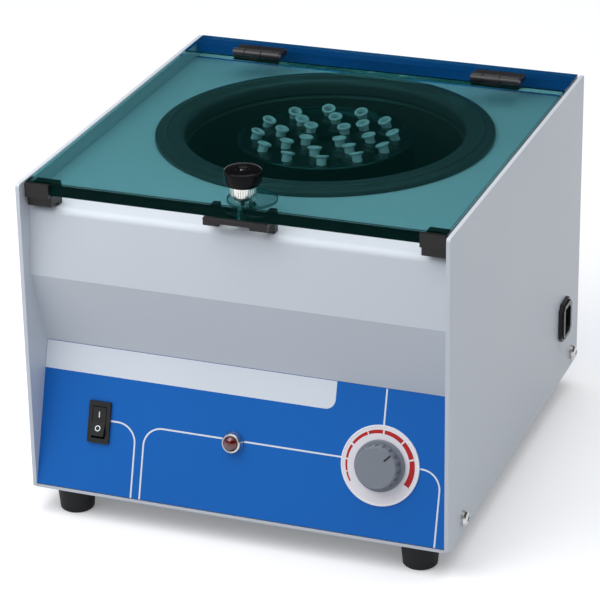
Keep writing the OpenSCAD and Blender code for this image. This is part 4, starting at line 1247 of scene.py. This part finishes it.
class CENTRIFUGE_OT_dial(Operator):
    """Finish the dial plate and the speed knob, and print the red marks"""

    bl_idname = "centrifuge.dial"
    bl_label = "Dial"

    def execute(self, context):
        make_dial(context.scene)
        return {"FINISHED"}


class CENTRIFUGE_OT_lid(Operator):
    """Finish the clear lid, the rear strip, the clips and the rests"""

    bl_idname = "centrifuge.lid"
    bl_label = "Lid"

    def execute(self, context):
        make_lid(context.scene)
        return {"FINISHED"}


class CENTRIFUGE_OT_hinges(Operator):
    """Finish the hinges and their pins"""

    bl_idname = "centrifuge.hinges"
    bl_label = "Hinges"

    def execute(self, context):
        make_hinges(context.scene)
        return {"FINISHED"}


class CENTRIFUGE_OT_lock(Operator):
    """Finish the cap, the collar, the stud, the tongue and the strike"""

    bl_idname = "centrifuge.lock"
    bl_label = "Lock"

    def execute(self, context):
        make_lock(context.scene)
        return {"FINISHED"}


class CENTRIFUGE_OT_bowl(Operator):
    """Finish the bowl, its rim and the gland"""

    bl_idname = "centrifuge.bowl"
    bl_label = "Bowl"

    def execute(self, context):
        make_bowl(context.scene)
        return {"FINISHED"}


class CENTRIFUGE_OT_rotor(Operator):
    """Finish the rotor, the cups, the clamping screw and the shaft"""

    bl_idname = "centrifuge.rotor"
    bl_label = "Rotor"

    def execute(self, context):
        make_rotor(context.scene)
        return {"FINISHED"}


class CENTRIFUGE_OT_motor(Operator):
    """Finish the motor, its plate, pillars, screws and dampers"""

    bl_idname = "centrifuge.motor"
    bl_label = "Motor"

    def execute(self, context):
        make_motor()
        return {"FINISHED"}


class CENTRIFUGE_OT_power(Operator):
    """Finish the mains inlet, the speed control and the board"""

    bl_idname = "centrifuge.power"
    bl_label = "Power"

    def execute(self, context):
        make_power()
        return {"FINISHED"}


OPERATORS = (CENTRIFUGE_OT_stage, CENTRIFUGE_OT_casing, CENTRIFUGE_OT_panel_print,
             CENTRIFUGE_OT_switch, CENTRIFUGE_OT_lamp, CENTRIFUGE_OT_dial, CENTRIFUGE_OT_lid,
             CENTRIFUGE_OT_hinges, CENTRIFUGE_OT_lock, CENTRIFUGE_OT_bowl,
             CENTRIFUGE_OT_rotor, CENTRIFUGE_OT_motor, CENTRIFUGE_OT_power)
SETTINGS = {"centrifuge_stage": StageSettings, "centrifuge_paint": PaintSettings,
            "centrifuge_print": PrintSettings, "centrifuge_lid": LidSettings,
            "centrifuge_rotor": RotorSettings}


class VIEW3D_PT_centrifuge(Panel):
    """Sidebar panel with the steps in order and the settings"""

    bl_idname = "VIEW3D_PT_centrifuge"
    bl_label = "Centrifuge"
    bl_space_type = "VIEW_3D"
    bl_region_type = "UI"
    bl_category = "Centrifuge"

    def draw(self, context):
        steps = self.layout.column(align=True)
        for step in OPERATORS:
            steps.operator(step.bl_idname)
        for label, group in SETTINGS.items():
            box = self.layout.box()
            box.label(text=group.__doc__)
            for key in group.__annotations__:
                box.prop(getattr(context.scene, label), key)


def register():
    for label, group in SETTINGS.items():
        bpy.utils.register_class(group)
        setattr(bpy.types.Scene, label, PointerProperty(type=group))
    for step in (*OPERATORS, VIEW3D_PT_centrifuge):
        bpy.utils.register_class(step)


def unregister():
    for step in (VIEW3D_PT_centrifuge, *reversed(OPERATORS)):
        bpy.utils.unregister_class(step)
    for label, group in SETTINGS.items():
        delattr(bpy.types.Scene, label)
        bpy.utils.unregister_class(group)


def main():
    """Registers the add-on and makes the groups of pieces in order."""
    register()
    bpy.ops.centrifuge.stage()
    bpy.ops.centrifuge.casing()
    bpy.ops.centrifuge.panel_print()
    bpy.ops.centrifuge.switch()
    bpy.ops.centrifuge.lamp()
    bpy.ops.centrifuge.dial()
    bpy.ops.centrifuge.lid()
    bpy.ops.centrifuge.hinges()
    bpy.ops.centrifuge.lock()
    bpy.ops.centrifuge.bowl()
    bpy.ops.centrifuge.rotor()
    bpy.ops.centrifuge.motor()
    bpy.ops.centrifuge.power()


if __name__ == "__main__":
    main()
